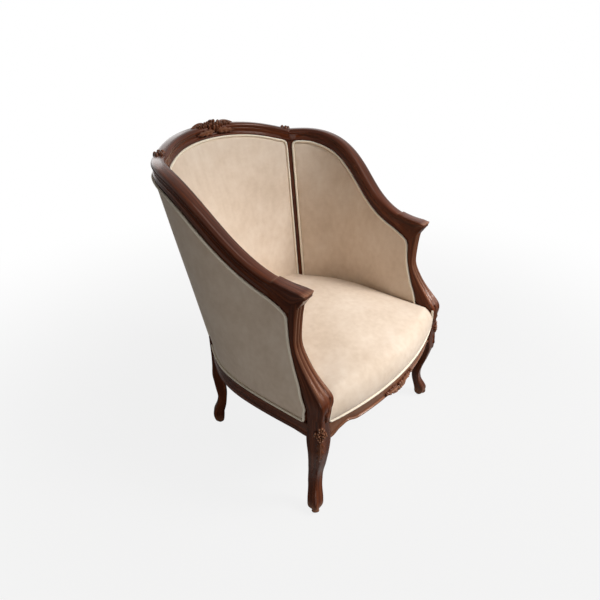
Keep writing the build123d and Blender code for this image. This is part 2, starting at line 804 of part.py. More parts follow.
def seat_form(inset):
    # crowned seat with a rolled bow front, set in from its outer face and running out past the walls
    face = front_axis - front_radius + fit_gap + inset
    lap = front_axis - front_radius + rebate - fit_gap
    foot = welt_line + welt_room
    crown = seat_crown_top - inset
    roll_end = (face + seat_roll_depth, seat_front_height - inset)
    roll_start = (face, seat_roll_base)
    roll_middle = (
        face + seat_roll_depth * (1 - math.sqrt(0.5)),
        seat_roll_base + (roll_end[1] - seat_roll_base) * math.sqrt(0.5))
    rear_end = (rear_rail_middle, seat_rear_height - inset)
    half_width = leg_outer_x
    with BuildPart() as form:
        with BuildSketch(Plane.YZ) as profile:
            with BuildLine():
                Polyline((lap, deck_height), (lap, foot), (face, foot), roll_start)
                ThreePointArc(roll_start, roll_middle, roll_end)
                ThreePointArc(roll_end, (seat_crown_y, crown), rear_end)
                Polyline(rear_end, (rear_end[0], deck_height), (lap, deck_height))
            make_face()
        revolve(axis=Axis((0, front_axis, 0), (0, 0, 1)), revolution_arc=seat_sweep)
        mirror(about=Plane.YZ)
        with BuildSketch(Plane.XZ.offset(front_radius)) as cross_crown:
            with BuildLine():
                ThreePointArc(
                    (-half_width, seat_side_height - inset), (0, crown + fit_gap),
                    (half_width, seat_side_height - inset))
                Polyline(
                    (half_width, seat_side_height - inset), (half_width, rail_bottom), (-half_width, rail_bottom),
                    (-half_width, seat_side_height - inset))
            make_face()
        extrude(amount=-2 * front_radius, mode=Mode.INTERSECT)
    return form.part


def seat_body(inset):
    # the seat's form cut off at the walls and the posts, with a gap all round
    gap = fit_gap + inset
    with BuildPart() as grown_stile:
        loft([stile_room(height, gap) for height in (post_base_top, seat_crown_top + post_base_size)])
    floor = rail_bottom + fit_gap
    side_room = wall_layer(side_stations, -rail_thickness, side_wall + gap, 0, side_crown, floor)
    back_room = wall_layer(back_stations, -rail_thickness, back_wall + gap, 0, back_crown, floor)
    with BuildPart() as body:
        add(seat_form(inset))
        for room in (grown_post(gap), grown_stile.part, side_room):
            add(room, mode=Mode.SUBTRACT)
            add(mirror(room, about=Plane.YZ), mode=Mode.SUBTRACT)
        add(back_room, mode=Mode.SUBTRACT)
    return largest(body.part)


with BuildPart() as seat_foam:
    add(seat_body(cover_thickness + fit_gap))
with BuildPart() as seat_sheet:
    add(seat_body(0))
    add(seat_form(cover_thickness), mode=Mode.SUBTRACT)
with BuildPart() as seat_cover:
    add(largest(seat_sheet.part))

# Layers of the side walls and of the back
pad_bottom = deck_height + fit_gap
outside_bottom = welt_line + welt_room
foam_face = cover_thickness + fit_gap
with BuildPart() as grown_base:
    extrude(
        post_section(post_base_bottom, post_base_size + 2 * cover_room),
        amount=stile_start + cover_room - post_base_bottom)
with BuildPart() as right_side_lining:
    add(side_piece(lining_depth, lining_depth + lining_thickness, 0, 0, tack_rail_bottom))
with BuildPart() as right_side_foam:
    add(side_piece(foam_depth, side_wall - foam_face, 0, side_crown, pad_bottom))
with BuildPart() as right_side_cover:
    add(side_piece(side_wall - cover_thickness, side_wall, side_crown, side_crown, pad_bottom))
with BuildPart() as right_outside_cover:
    add(side_piece(0, outside_cover_thickness, 0, 0, outside_bottom))
    add(grown_base.part, mode=Mode.SUBTRACT)
with BuildPart() as back_lining:
    add(wall_layer(back_stations, lining_depth, lining_depth + lining_thickness, 0, 0, tack_rail_bottom))
with BuildPart() as inside_back_foam:
    add(wall_layer(back_stations, foam_depth, back_wall - foam_face, 0, back_crown, pad_bottom))
with BuildPart() as inside_back_cover:
    add(wall_layer(back_stations, back_wall - cover_thickness, back_wall, back_crown, back_crown, pad_bottom))
with BuildPart() as outside_back_cover:
    add(wall_layer(back_stations, 0, outside_cover_thickness, 0, 0, outside_bottom))
    add(grown_base.part, mode=Mode.SUBTRACT)
    add(mirror(grown_base.part, about=Plane.YZ), mode=Mode.SUBTRACT)

# Welts lie in the channel between a cover and the wood around it


def stile_welt_point(height, side, depth):
    # point beside the stile, towards the side wall or the back, at a depth from the wall's middle
    half = stile_size / 2 if height > stile_start else post_base_size / 2
    beside = front_diagonal * side * (half + channel)
    return stile_center(height) + beside + rear_diagonal * depth + up * height


def arm_welt_points(face):
    # points under the arm rail from the stile to the arm post, on its inner or outer face
    start = share_where(
        lambda s: (arm_edge @ s - Vector(*back_corner)).dot(front_diagonal), stile_size / 2 + channel)
    end = share_where(lambda s: -(arm_edge @ s).Y, -arm_post_at(1)[0].Y - arm_post_at(1)[1] / 2 - channel)
    points = []
    for step in range(welt_steps + 1):
        share = start + (end - start) * step / welt_steps
        width, height = arm_size_at(share)
        place = (face * (width / 2 - welt_set_in), -height - channel - welt_gap, 0)
        points.append(square_plane(arm_edge, share).from_local_coords(place))
    return points


def post_welt_points(face, bottom):
    # points behind the arm post from its top down to a height
    points = []
    for step in range(welt_steps + 1):
        share = post_welt_top + (0 - post_welt_top) * step / welt_steps
        center, depth, width = arm_post_at(share)
        if center.Z > bottom:
            back = max(center.Y + depth / 2, leg_rear_y if center.Z < leg_block_top + welt_room else center.Y)
            points.append(Vector(center.X + face * (width / 2 - welt_set_in), back + channel, center.Z))
    return points


def crest_welt_points(face):
    # points under the crest rail from the left stile to the right one
    start = share_where(
        lambda s: (crest_edge @ s - mirrored(back_corner)).dot(rear_diagonal), stile_size / 2 + channel)
    points = []
    for step in range(welt_steps + 1):
        share = start + (1 - 2 * start) * step / welt_steps
        place = (face * (rail_width / 2 - welt_set_in), -rail_height - channel, 0)
        points.append(square_plane(crest_edge, share).from_local_coords(place))
    return points


def welt(points):
    # round cord along a route, tight at sharp corners and as wide as its runs allow at the others
    route_points = points[:1]
    for point, after in zip(points[1:], points[2:]):
        if (point - route_points[-1]).get_angle(after - point) > least_turn:
            route_points.append(point)
    route_points.append(points[-1])
    radii = []
    for before, point, after in zip(route_points, route_points[1:], route_points[2:]):
        turn = (point - before).get_angle(after - point)
        run = min((point - before).length, (after - point).length)
        widest = 0.45 * run / math.tan(math.radians(turn) / 2)
        radii.append(welt_corner if turn > sharp_turn else widest)
    with BuildPart() as cord:
        with BuildLine() as route:
            FilletPolyline(*route_points, radius=radii)
        with BuildSketch(Plane(route.line @ 0, z_dir=route.line % 0)):
            Circle(welt_diameter / 2)
        sweep(path=route.line)
    return cord.part


face_depth = rail_width / 2 - welt_set_in
low_welt_height = welt_line + welt_diameter / 2 + fit_gap
inside_foot = seat_rear_height + 2 * welt_room
outside_foot = welt_line + 2 * welt_room
stile_head = back_corner[2] - rail_height - 3 * welt_room
inside_stile = [stile_welt_point(height, 1, -face_depth) for height in (inside_foot, stile_head)]
outside_heights = (outside_foot, post_base_top + channel, stile_start + 2 * welt_room, stile_head)
outside_stile = [stile_welt_point(height, 1, face_depth) for height in outside_heights]
back_inside_stile = [stile_welt_point(height, -1, -face_depth) for height in (inside_foot, stile_head)]
back_outside_stile = [stile_welt_point(height, -1, face_depth) for height in outside_heights]


def low_side_points():
    # points along the foot of the outside cover from the stile to the front leg
    start = share_where(lambda s: (side_edge @ s - post_base).dot(front_diagonal), base_face + channel)
    end = share_where(lambda s: -(side_edge @ s).Y, -leg_rear_y - 2 * channel)
    points = []
    for step in range(welt_steps + 1):
        point = side_inner(start + (end - start) * step / welt_steps, welt_set_in)
        points.append(point + up * low_welt_height)
    return points


def low_back_points():
    # points along the foot of the outside back from the left post to the right one
    end = rear_sweep - (base_face + 2 * channel) / rear_radius
    points = []
    for step in range(welt_steps + 1):
        angle = end * (2 * step / welt_steps - 1)
        points.append(Vector(*bow_point(rear_axis, rear_radius - welt_set_in, angle, 1), low_welt_height))
    return points


with BuildPart() as right_side_welt:
    add(welt([*inside_stile, *arm_welt_points(-1), *post_welt_points(-1, inside_foot)]))
with BuildPart() as right_outside_welt:
    add(welt([
        *low_side_points(), *reversed(post_welt_points(1, leg_block_top)), *reversed(arm_welt_points(1)),
        *reversed(outside_stile)]))
with BuildPart() as inside_back_welt:
    add(welt([
        *[mirrored(point) for point in back_inside_stile], *crest_welt_points(-1), *reversed(back_inside_stile)]))
with BuildPart() as outside_back_welt:
    add(welt([
        *low_back_points(), *back_outside_stile, *reversed(crest_welt_points(1)),
        *[mirrored(point) for point in reversed(back_outside_stile)]]))
with BuildPart() as seat_welt:
    welt_radius = front_radius - welt_set_in - fit_gap
    welt_sweep = math.asin((leg_inner_x - fit_gap) / front_radius)
    with BuildLine(Plane.XY.offset(low_welt_height)) as seat_welt_route:
        ThreePointArc(
            bow_point(front_axis, welt_radius, -welt_sweep, -1), bow_point(front_axis, welt_radius, 0, -1),
            bow_point(front_axis, welt_radius, welt_sweep, -1))
    with BuildSketch(Plane(seat_welt_route.line @ 0, z_dir=seat_welt_route.line % 0)):
        Circle(welt_diameter / 2)
    sweep(path=seat_welt_route.line)

# Every finished piece, with the right-hand pieces mirrored to the left
pieces = {
    "crest_rail": crest_rail, "front_seat_rail": front_seat_rail, "rear_seat_rail": rear_seat_rail,
    "lower_back_rail": lower_back_rail, "corner_block_screws": corner_block_screws, "foot_glides": foot_glides,
    "seat_webbing_lengthwise": seat_webbing_lengthwise, "seat_webbing_crosswise": seat_webbing_crosswise,
    "seat_burlap": seat_burlap, "dust_cover": dust_cover, "seat_foam": seat_foam, "seat_cover": seat_cover,
    "seat_welt": seat_welt, "back_lining": back_lining, "inside_back_foam": inside_back_foam,
    "inside_back_cover": inside_back_cover, "inside_back_welt": inside_back_welt,
    "outside_back_cover": outside_back_cover, "outside_back_welt": outside_back_welt}
right_pieces = {
    "arm_rail": right_arm_rail, "arm_post": right_arm_post, "front_leg": right_front_leg,
    "back_post": right_back_post, "seat_rail": right_seat_rail, "tack_rail": right_tack_rail,
    "front_corner_block": right_front_corner_block, "rear_corner_block": right_rear_corner_block,
    "side_lining": right_side_lining, "side_foam": right_side_foam, "side_cover": right_side_cover,
    "side_welt": right_side_welt, "outside_cover": right_outside_cover, "outside_welt": right_outside_welt}
for name, piece in right_pieces.items():
    with BuildPart() as left_piece:
        add(mirror(piece.part, about=Plane.YZ))
    pieces["right_" + name] = piece
    pieces["left_" + name] = left_piece
for name, places, diameter, length in pin_sets:
    with BuildPart() as pin_group:
        add(pins(places, diameter, length))
    pieces[name] = pin_group

os.makedirs("parts", exist_ok=True)
for name, piece in pieces.items():
    piece.part.label = name
    export_step(piece.part, "parts/" + name + ".step")
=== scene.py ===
import math
import bpy
import numpy as np
from mathutils import Matrix, Vector


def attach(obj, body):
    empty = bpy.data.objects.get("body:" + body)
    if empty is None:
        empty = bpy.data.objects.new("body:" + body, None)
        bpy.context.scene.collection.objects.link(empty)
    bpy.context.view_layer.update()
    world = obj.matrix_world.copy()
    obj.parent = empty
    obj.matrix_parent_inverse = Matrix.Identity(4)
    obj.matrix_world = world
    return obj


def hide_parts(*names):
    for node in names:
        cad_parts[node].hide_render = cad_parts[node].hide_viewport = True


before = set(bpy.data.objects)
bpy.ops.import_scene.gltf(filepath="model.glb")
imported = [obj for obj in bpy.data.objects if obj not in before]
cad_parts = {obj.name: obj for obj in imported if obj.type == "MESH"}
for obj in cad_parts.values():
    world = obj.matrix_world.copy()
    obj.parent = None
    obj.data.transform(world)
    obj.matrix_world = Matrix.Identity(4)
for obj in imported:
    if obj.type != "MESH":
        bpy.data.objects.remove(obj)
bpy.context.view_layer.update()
mm = 0.001  # settings of the pieces are in mm, the scene is in metres
rearDiag = np.array([1, 1, 0]) / math.sqrt(2)
frontDiag = np.array([1, -1, 0]) / math.sqrt(2)
upward = np.array([0, 0, 1.0])
asIs = np.ones(3)
flip = np.array([-1, 1, 1.0])  # turns a right-hand shape into a left-hand one
bothSides = (("right_", asIs), ("left_", flip))


def unit(v):
    # each vector divided by its length
    return v / np.maximum(np.linalg.norm(v, axis=-1, keepdims=True), 1e-12)


def ease(low, high, t):
    # cubic step: 0 below low, 1 above high, 3s^2 - 2s^3 between
    s = np.clip((np.asarray(t, float) - low) / (high - low), 0, 1)
    return s * s * (3 - 2 * s)


def cubic(knots, values, where):
    # natural cubic: the second derivative runs straight between knots and is zero at both ends
    knots, values, where = (np.asarray(a, float) for a in (knots, values, where))
    values = values.reshape(len(knots), -1)
    h = np.diff(knots)
    n = len(knots)
    system = np.eye(n)
    inner = np.arange(1, n - 1)
    system[inner, inner - 1] = h[:-1]
    system[inner, inner] = 2 * (h[:-1] + h[1:])
    system[inner, inner + 1] = h[1:]
    right = np.zeros_like(values)
    right[1:-1] = 6 * np.diff(np.diff(values, axis=0) / h[:, None], axis=0)
    bend = np.linalg.solve(system, right)
    span = np.clip(np.searchsorted(knots, where, side="right") - 1, 0, n - 2)
    b = ((where - knots[span]) / h[span])[:, None]
    a = 1 - b
    wide = h[span][:, None] ** 2 / 6
    return (a * values[span] + b * values[span + 1]
            + ((a**3 - a) * bend[span] + (b**3 - b) * bend[span + 1]) * wide)


def lengthsAlong(path):
    # running length of a line of points
    return np.append(0, np.cumsum(np.linalg.norm(np.diff(path, axis=0), axis=1)))


def readOff(where, knots, points):
    # each coordinate of a line of points, read off straight between its knots
    return np.stack([np.interp(where, knots, points[:, k]) for k in range(3)], -1)


def resample(path, shares):
    # points at shares of the line's length
    run = lengthsAlong(path)
    return readOff(np.asarray(shares) * run[-1], run, path)


def curveThrough(points, count):
    # natural cubic on chord lengths through the points, at even steps of its length
    points = np.asarray(points, float)
    knots = lengthsAlong(points)
    return resample(cubic(knots, points, np.linspace(0, knots[-1], 3000)), np.linspace(0, 1, count))


def bellSmooth(points, reach, spread):
    # each point averaged under a bell curve with reach points on either side; those at the ends are used up
    bell = np.exp(-0.5 * (np.arange(-reach, reach + 1) / spread) ** 2)
    bell /= bell.sum()
    return np.stack([np.convolve(points[:, k], bell, mode="valid") for k in range(3)], -1)


def travelFrames(path, startAlong=None, endAlong=None):
    # tangent by central differences, side level and outward (up x tangent), top square to both
    along = unit(np.gradient(path, axis=0))
    if startAlong is not None:
        along[0] = startAlong
    if endAlong is not None:
        along[-1] = endAlong
    side = unit(np.cross(upward, along))
    return along, side, np.cross(along, side)


def squareRing(count, power):
    # superellipse of half widths 1: |x|^p + |y|^p = 1, in even steps of angle
    a = np.linspace(0, 2 * math.pi, count, endpoint=False) + math.pi / 4
    c, s = np.cos(a), np.sin(a)
    r = (np.abs(c) ** power + np.abs(s) ** power) ** (-1 / power)
    return np.stack([c * r, s * r], -1)


def sweep(path, frames, profile):
    # profile carried along the path: point + side * x + top * y
    _, side, top = frames
    profile = np.broadcast_to(profile, (len(path),) + profile.shape[-2:])
    return path[:, None] + side[:, None] * profile[..., :1] + top[:, None] * profile[..., 1:]


def tube(path, radius, sides=14):
    # circle carried along a path on frames that turn as little as they can
    along = unit(np.gradient(path, axis=0))
    side = np.zeros_like(path)
    side[0] = unit(np.cross(along[0], upward + 0.01 * rearDiag))  # leaned a little, for a path that starts upright
    for n in range(1, len(path)):
        side[n] = unit(side[n - 1] - along[n] * np.dot(side[n - 1], along[n]))
    top = np.cross(along, side)
    a = np.linspace(0, 2 * math.pi, sides, endpoint=False)
    radius = np.broadcast_to(radius, (len(path),))[:, None, None]
    return path[:, None] + radius * (side[:, None] * np.cos(a)[:, None] + top[:, None] * np.sin(a)[:, None])


def meshPiece(name, grid, material, flatEnds=False, wearAndHighlight=None, sharp=40):
    # rings joined row to row by quads; the first and last are capped by one face each, or, where the ring is
    # flat, by a strip of quads between its two long sides
    rows, columns = grid.shape[:2]
    i, j = np.meshgrid(np.arange(rows - 1), np.arange(columns), indexing="ij")
    k = (j + 1) % columns
    quads = np.stack([i * columns + j, i * columns + k, (i + 1) * columns + k, (i + 1) * columns + j], -1)
    quads = quads.reshape(-1, 4)
    points = grid.reshape(-1, 3)
    a, b, c, d = ((points - points.mean(axis=0))[quads[:, n]] for n in range(4))
    volume = np.einsum("ij,ij->", a, np.cross(b, c)) + np.einsum("ij,ij->", a, np.cross(c, d))
    # texture places in metres: mean run from ring to ring, and longest step round the rings
    lengths = np.append(0, np.cumsum(np.linalg.norm(np.diff(grid, axis=0), axis=2).mean(axis=1)))
    wrapped = np.concatenate([grid, grid[:, :1]], axis=1)
    girths = np.append(0, np.cumsum(np.linalg.norm(np.diff(wrapped, axis=1), axis=2).max(axis=0)))
    u = np.stack([lengths[i], lengths[i], lengths[i + 1], lengths[i + 1]], -1)
    v = np.stack([girths[j], girths[j + 1], girths[j + 1], girths[j]], -1)
    loops = np.stack([u, v], -1).reshape(-1, 4, 2)
    if flatEnds:
        n = np.arange(columns // 2 - 1)
        first = np.stack([n, n + 1, columns - 2 - n, columns - 1 - n], -1)
    else:
        first = np.arange(columns)[None]
    caps = np.concatenate([first[:, ::-1], first + (rows - 1) * columns])
    capLoops = points[caps][..., [0, 2]]
    if volume < 0:  # inside out
        quads, loops, caps, capLoops = (part[:, ::-1] for part in (quads, loops, caps, capLoops))
    mesh = bpy.data.meshes.new(name)
    mesh.from_pydata(points.tolist(), [], quads.tolist() + caps.tolist())
    layer = mesh.uv_layers.new(name="grain")
    places = np.concatenate([loops.reshape(-1, 2), capLoops.reshape(-1, 2)])
    layer.data.foreach_set("uv", places.astype(np.float32).ravel())
    # per-point share of the pale colour, for worn stain and for painted highlight where a piece sets it
    if wearAndHighlight is not None:
        wornAndLit = mesh.attributes.new("wearAndHighlight", "FLOAT", "POINT")
        wornAndLit.data.foreach_set("value", np.broadcast_to(wearAndHighlight, grid.shape[:2]).astype(np.float32).ravel())
    mesh.shade_smooth()
    mesh.set_sharp_from_angle(angle=math.radians(sharp))
    mesh.materials.append(material)
    piece = bpy.data.objects.new(name, mesh)
    bpy.context.scene.collection.objects.link(piece)
    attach(piece, "root")
    return piece


def woodPiece(name, grid, wearAndHighlight, replaced=None, **ends):
    # a piece of the show-wood, in place of a solid where one is named
    piece = meshPiece(name, grid, wood, wearAndHighlight=wearAndHighlight, **ends)
    if replaced:
        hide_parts(replaced)


def woodPair(name, grid, wearAndHighlight, replaced):
    # the right piece and its mirror image
    for side, turn in bothSides:
        woodPiece(side + name, grid * turn, wearAndHighlight, side + replaced)


def linear(hexColour):
    # sRGB hex to linear light
    value = np.array([int(hexColour[n:n + 2], 16) / 255 for n in (1, 3, 5)])
    value = np.where(value <= 0.04045, value / 12.92, ((value + 0.055) / 1.055) ** 2.4)
    return (*value.tolist(), 1.0)


def feed(tree, node, inputs):
    # each input is a value for the socket, or the socket that feeds it
    for key, value in inputs.items():
        if isinstance(value, bpy.types.NodeSocket):
            tree.links.new(value, node.inputs[key])
        else:
            node.inputs[key].default_value = value


def addNode(tree, kind, inputs=None, stops=(), **settings):
    # one node with its settings and links; stops are a ramp's places and colours
    node = tree.nodes.new(kind)
    for key, value in settings.items():
        setattr(node, key, value)
    feed(tree, node, inputs or {})
    for n, (place, colour) in enumerate(stops):
        element = node.color_ramp.elements[n] if n < 2 else node.color_ramp.elements.new(place)
        element.position = place
        element.color = linear(colour)
    return node


def startMaterial(name):
    # a new material with its node tree and shader
    material = bpy.data.materials.new(name)
    material.use_nodes = True
    tree = material.node_tree
    return material, tree, tree.nodes["Principled BSDF"]


# Mahogany, stained dark and rubbed to a satin lacquer: fine long pores, a warm red in the light, paler where hands
# and shoes have worn the stain off the edges; the same pale colour is also laid on as painted highlight and
# painted lit faces
woodLook = {"ramp": ((0.32, "#290E05"), (0.5, "#4A1F0E"), (0.68, "#70391E")), "wornAndLit": "#A8785A",
            "gloss": "#C08A68", "poreMm": 1.6, "poreLengthMm": 60, "figureMm": 14, "figureLengthMm": 220,
            "poreShare": 0.35, "poreBump": 0.12, "poreDepthMm": 0.4, "roughness": 0.23, "smoother": 0.06,
            "rougher": 0.1, "ior": 1.5, "specular": 0.2, "coat": 0.2, "coatRoughness": 0.1, "wearAndHighlight": 0.05}
beechLook = {**woodLook, "ramp": ((0.32, "#A57F55"), (0.5, "#BF9868"), (0.68, "#D3B183")), "roughness": 0.65}


def makeWood(name, look, shaped):
    # two stretched noises, figure and pores, through a ramp; on shaped pieces the grain follows the piece, and
    # the pale colour comes in by a per-point share times pores: partly worn stain, partly painted highlight
    material, tree, shader = startMaterial(name)
    if shaped:
        place = addNode(tree, "ShaderNodeUVMap", uv_map="grain").outputs["UV"]
    else:
        place = addNode(tree, "ShaderNodeTexCoord").outputs["Object"]
    noises = []
    for kind, detail in (("figure", 4.0), ("pore", 3.0)):
        along, across = 1 / (look[kind + "LengthMm"] * mm), 1 / (look[kind + "Mm"] * mm)
        stretched = addNode(tree, "ShaderNodeMapping", {"Vector": place, "Scale": (along, across, across)})
        noises.append(addNode(tree, "ShaderNodeTexNoise", {
            "Vector": stretched.outputs["Vector"], "Scale": 1.0, "Detail": detail}).outputs["Fac"])
    figure, pores = noises
    both = addNode(tree, "ShaderNodeMix", {0: look["poreShare"], 2: figure, 3: pores})
    colour = addNode(tree, "ShaderNodeValToRGB", {"Fac": both.outputs[0]}, look["ramp"]).outputs["Color"]
    if shaped:
        wornAndLit = addNode(tree, "ShaderNodeAttribute", attribute_name="wearAndHighlight").outputs["Fac"]
        patch = addNode(tree, "ShaderNodeMath", {0: wornAndLit, 1: pores}, operation="MULTIPLY")
        colour = addNode(tree, "ShaderNodeMix", {0: patch.outputs[0], 6: colour, 7: linear(look["wornAndLit"])},
                         data_type="RGBA").outputs[2]
    bump = addNode(tree, "ShaderNodeBump", {
        "Height": pores, "Strength": look["poreBump"], "Distance": look["poreDepthMm"] * mm})
    rough = addNode(tree, "ShaderNodeMapRange", {
        "Value": figure, "To Min": look["roughness"] - look["smoother"],
        "To Max": look["roughness"] + look["rougher"]})
    feed(tree, shader, {
        "Base Color": colour, "Roughness": rough.outputs[0], "Normal": bump.outputs[0],
        "Coat Weight": look["coat"], "Coat Roughness": look["coatRoughness"], "IOR": look["ior"],
        "Specular IOR Level": look["specular"], "Specular Tint": linear(look["gloss"])})
    return material


# Microfibre suede, brushed: a matte nap that shades in soft patches, with a faint sheen at grazing light
suedeLook = {"ramp": ((0.3, "#CBB6A0"), (0.5, "#D8C5B1"), (0.7, "#E2D2C0")), "patchMm": 130, "napMm": 16,
             "napShare": 0.3, "patchRoughness": 0.62, "fibreMm": 1.2, "fibreBump": 0.25, "fibreDepthMm": 0.5,
             "roughness": 0.92, "specular": 0.25, "sheen": 0.2, "sheenRoughness": 0.45}


def makeSuede(name, look):
    # broad patches mixed with a finer nap through a ramp, and a bump of fibres
    material, tree, shader = startMaterial(name)
    place = addNode(tree, "ShaderNodeTexCoord").outputs["Object"]
    patches = addNode(tree, "ShaderNodeTexNoise", {
        "Vector": place, "Scale": 1 / (look["patchMm"] * mm), "Detail": 5.0, "Roughness": look["patchRoughness"]})
    nap = addNode(tree, "ShaderNodeTexNoise", {"Vector": place, "Scale": 1 / (look["napMm"] * mm), "Detail": 4.0})
    both = addNode(tree, "ShaderNodeMix", {
        0: look["napShare"], 2: patches.outputs["Fac"], 3: nap.outputs["Fac"]})
    colour = addNode(tree, "ShaderNodeValToRGB", {"Fac": both.outputs[0]}, look["ramp"])
    # the nap's fibres are drawn a little coarse, so that they show from a step away
    fibres = addNode(tree, "ShaderNodeTexNoise", {
        "Vector": place, "Scale": 1 / (look["fibreMm"] * mm), "Detail": 2.0})
    bump = addNode(tree, "ShaderNodeBump", {
        "Height": fibres.outputs["Fac"], "Strength": look["fibreBump"], "Distance": look["fibreDepthMm"] * mm})
    feed(tree, shader, {
        "Base Color": colour.outputs["Color"], "Normal": bump.outputs[0], "Roughness": look["roughness"],
        "Specular IOR Level": look["specular"], "Sheen Weight": look["sheen"],
        "Sheen Roughness": look["sheenRoughness"]})
    return material


# Cotton piping over cord: bias-cut weave that winds round the cord in fine slanting ribs
pipingLook = {"ramp": ((0.2, "#DCCBB0"), (0.6, "#F2E8D6")), "ribMm": 2.2, "slant": 40, "waver": 0.6, "soilMm": 40,
              "soilShare": 0.5, "ribBump": 0.3, "ribDepthMm": 0.4, "roughness": 0.85}
waveRun = 0.314  # a wave texture at scale 1 repeats about every pi / 10


def makePiping(name, look):
    # slanting waves mixed with soft soiling through a ramp, and a bump of the waves
    material, tree, shader = startMaterial(name)
    place = addNode(tree, "ShaderNodeUVMap", uv_map="grain").outputs["UV"]
    turned = addNode(tree, "ShaderNodeMapping", {"Vector": place, "Rotation": (0, 0, math.radians(look["slant"]))})
    ribs = addNode(tree, "ShaderNodeTexWave", {
        "Vector": turned.outputs["Vector"], "Scale": waveRun / (look["ribMm"] * mm), "Distortion": look["waver"]})
    soil = addNode(tree, "ShaderNodeTexNoise", {
        "Vector": place, "Scale": 1 / (look["soilMm"] * mm), "Detail": 4.0})
    both = addNode(tree, "ShaderNodeMix", {0: look["soilShare"], 2: ribs.outputs["Fac"], 3: soil.outputs["Fac"]})
    colour = addNode(tree, "ShaderNodeValToRGB", {"Fac": both.outputs[0]}, look["ramp"])
    bump = addNode(tree, "ShaderNodeBump", {
        "Height": ribs.outputs["Fac"], "Strength": look["ribBump"], "Distance": look["ribDepthMm"] * mm})
    feed(tree, shader, {
        "Base Color": colour.outputs["Color"], "Normal": bump.outputs[0], "Roughness": look["roughness"]})
    return material


wood = makeWood("stained_mahogany", woodLook, True)
beech = makeWood("raw_beech", beechLook, False)
suede = makeSuede("brushed_suede", suedeLook)
piping = makePiping("cotton_piping", pipingLook)
print("materials for wood and covers ready")

# Camera and light: the photograph's own viewpoint, soft light from the front right and above
viewLook = {"place": (-0.99156, -0.82317, 1.12915), "azimuth": -50.198, "elevation": 28.737, "roll": -1.140,
            "lensMm": 28.198, "sensorMm": 36.0, "farthest": 50}
lampLook = (  # name, kind, place, aim, size in metres, watts
    ("key", "SPOT", (0.9, -2.0, 2.2), (0.05, -0.22, 0.37), 1.0, 320),
    ("front_glint", "AREA", (1.6, -1.5, 1.3), (0, 0, 0.6), 1.0, 10),
    ("overhead", "AREA", (0.3, -1.3, 2.8), (0, -0.1, 0.4), 1.6, 20),
    ("low_fill", "AREA", (-1.7, -1.1, 0.30), (-0.3, 0, 0.25), 0.8, 5.5),
    ("rear_fill", "AREA", (0.6, 2.8, 2.0), (0, 0, 0.6), 2.0, 16))
spotLook = {"angle": 44, "blend": 1.0}
stageLook = {"dim": 0.075, "paper": "#9A9895", "roughness": 0.9, "half": 12.0, "below": 0.0005,
             "glow": (0.85, 1.0), "glowFrom": 0.5, "glowTo": 2.4}


def setCamera(look):
    # the camera looks along minus back, which azimuth and elevation give; roll turns right and head about it
    a, e, r = (math.radians(look[k]) for k in ("azimuth", "elevation", "roll"))
    back = np.array([math.sin(a) * math.cos(e), -math.cos(a) * math.cos(e), math.sin(e)])
    level = unit(np.cross(-back, upward))
    top = np.cross(level, -back)
    right = level * math.cos(r) + top * math.sin(r)
    head = -level * math.sin(r) + top * math.cos(r)
    data = bpy.data.cameras.new("viewpoint")
    data.sensor_fit = "HORIZONTAL"
    data.sensor_width = look["sensorMm"]
    data.lens = look["lensMm"]
    data.clip_end = look["farthest"]
    camera = bpy.data.objects.new("viewpoint", data)
    camera.matrix_world = Matrix([*np.stack([right, head, back, look["place"]], -1).tolist(), (0, 0, 0, 1)])
    bpy.context.scene.collection.objects.link(camera)
    bpy.context.scene.camera = camera


def setLamps(rows, spot):
    # each lamp stands at its place and is turned to its aim; the key is a spot, the others are discs
    for name, kind, place, aim, size, watts in rows:
        lamp = bpy.data.lights.new(name, kind)
        if kind == "SPOT":
            lamp.shadow_soft_size = size / 2
            lamp.spot_size = math.radians(spot["angle"])
            lamp.spot_blend = spot["blend"]
        else:
            lamp.shape = "DISK"
            lamp.size = size
        lamp.energy = watts
        holder = bpy.data.objects.new(name, lamp)
        holder.location = place
        holder.rotation_euler = (Vector(aim) - Vector(place)).to_track_quat("-Z", "Y").to_euler()
        bpy.context.scene.collection.objects.link(holder)


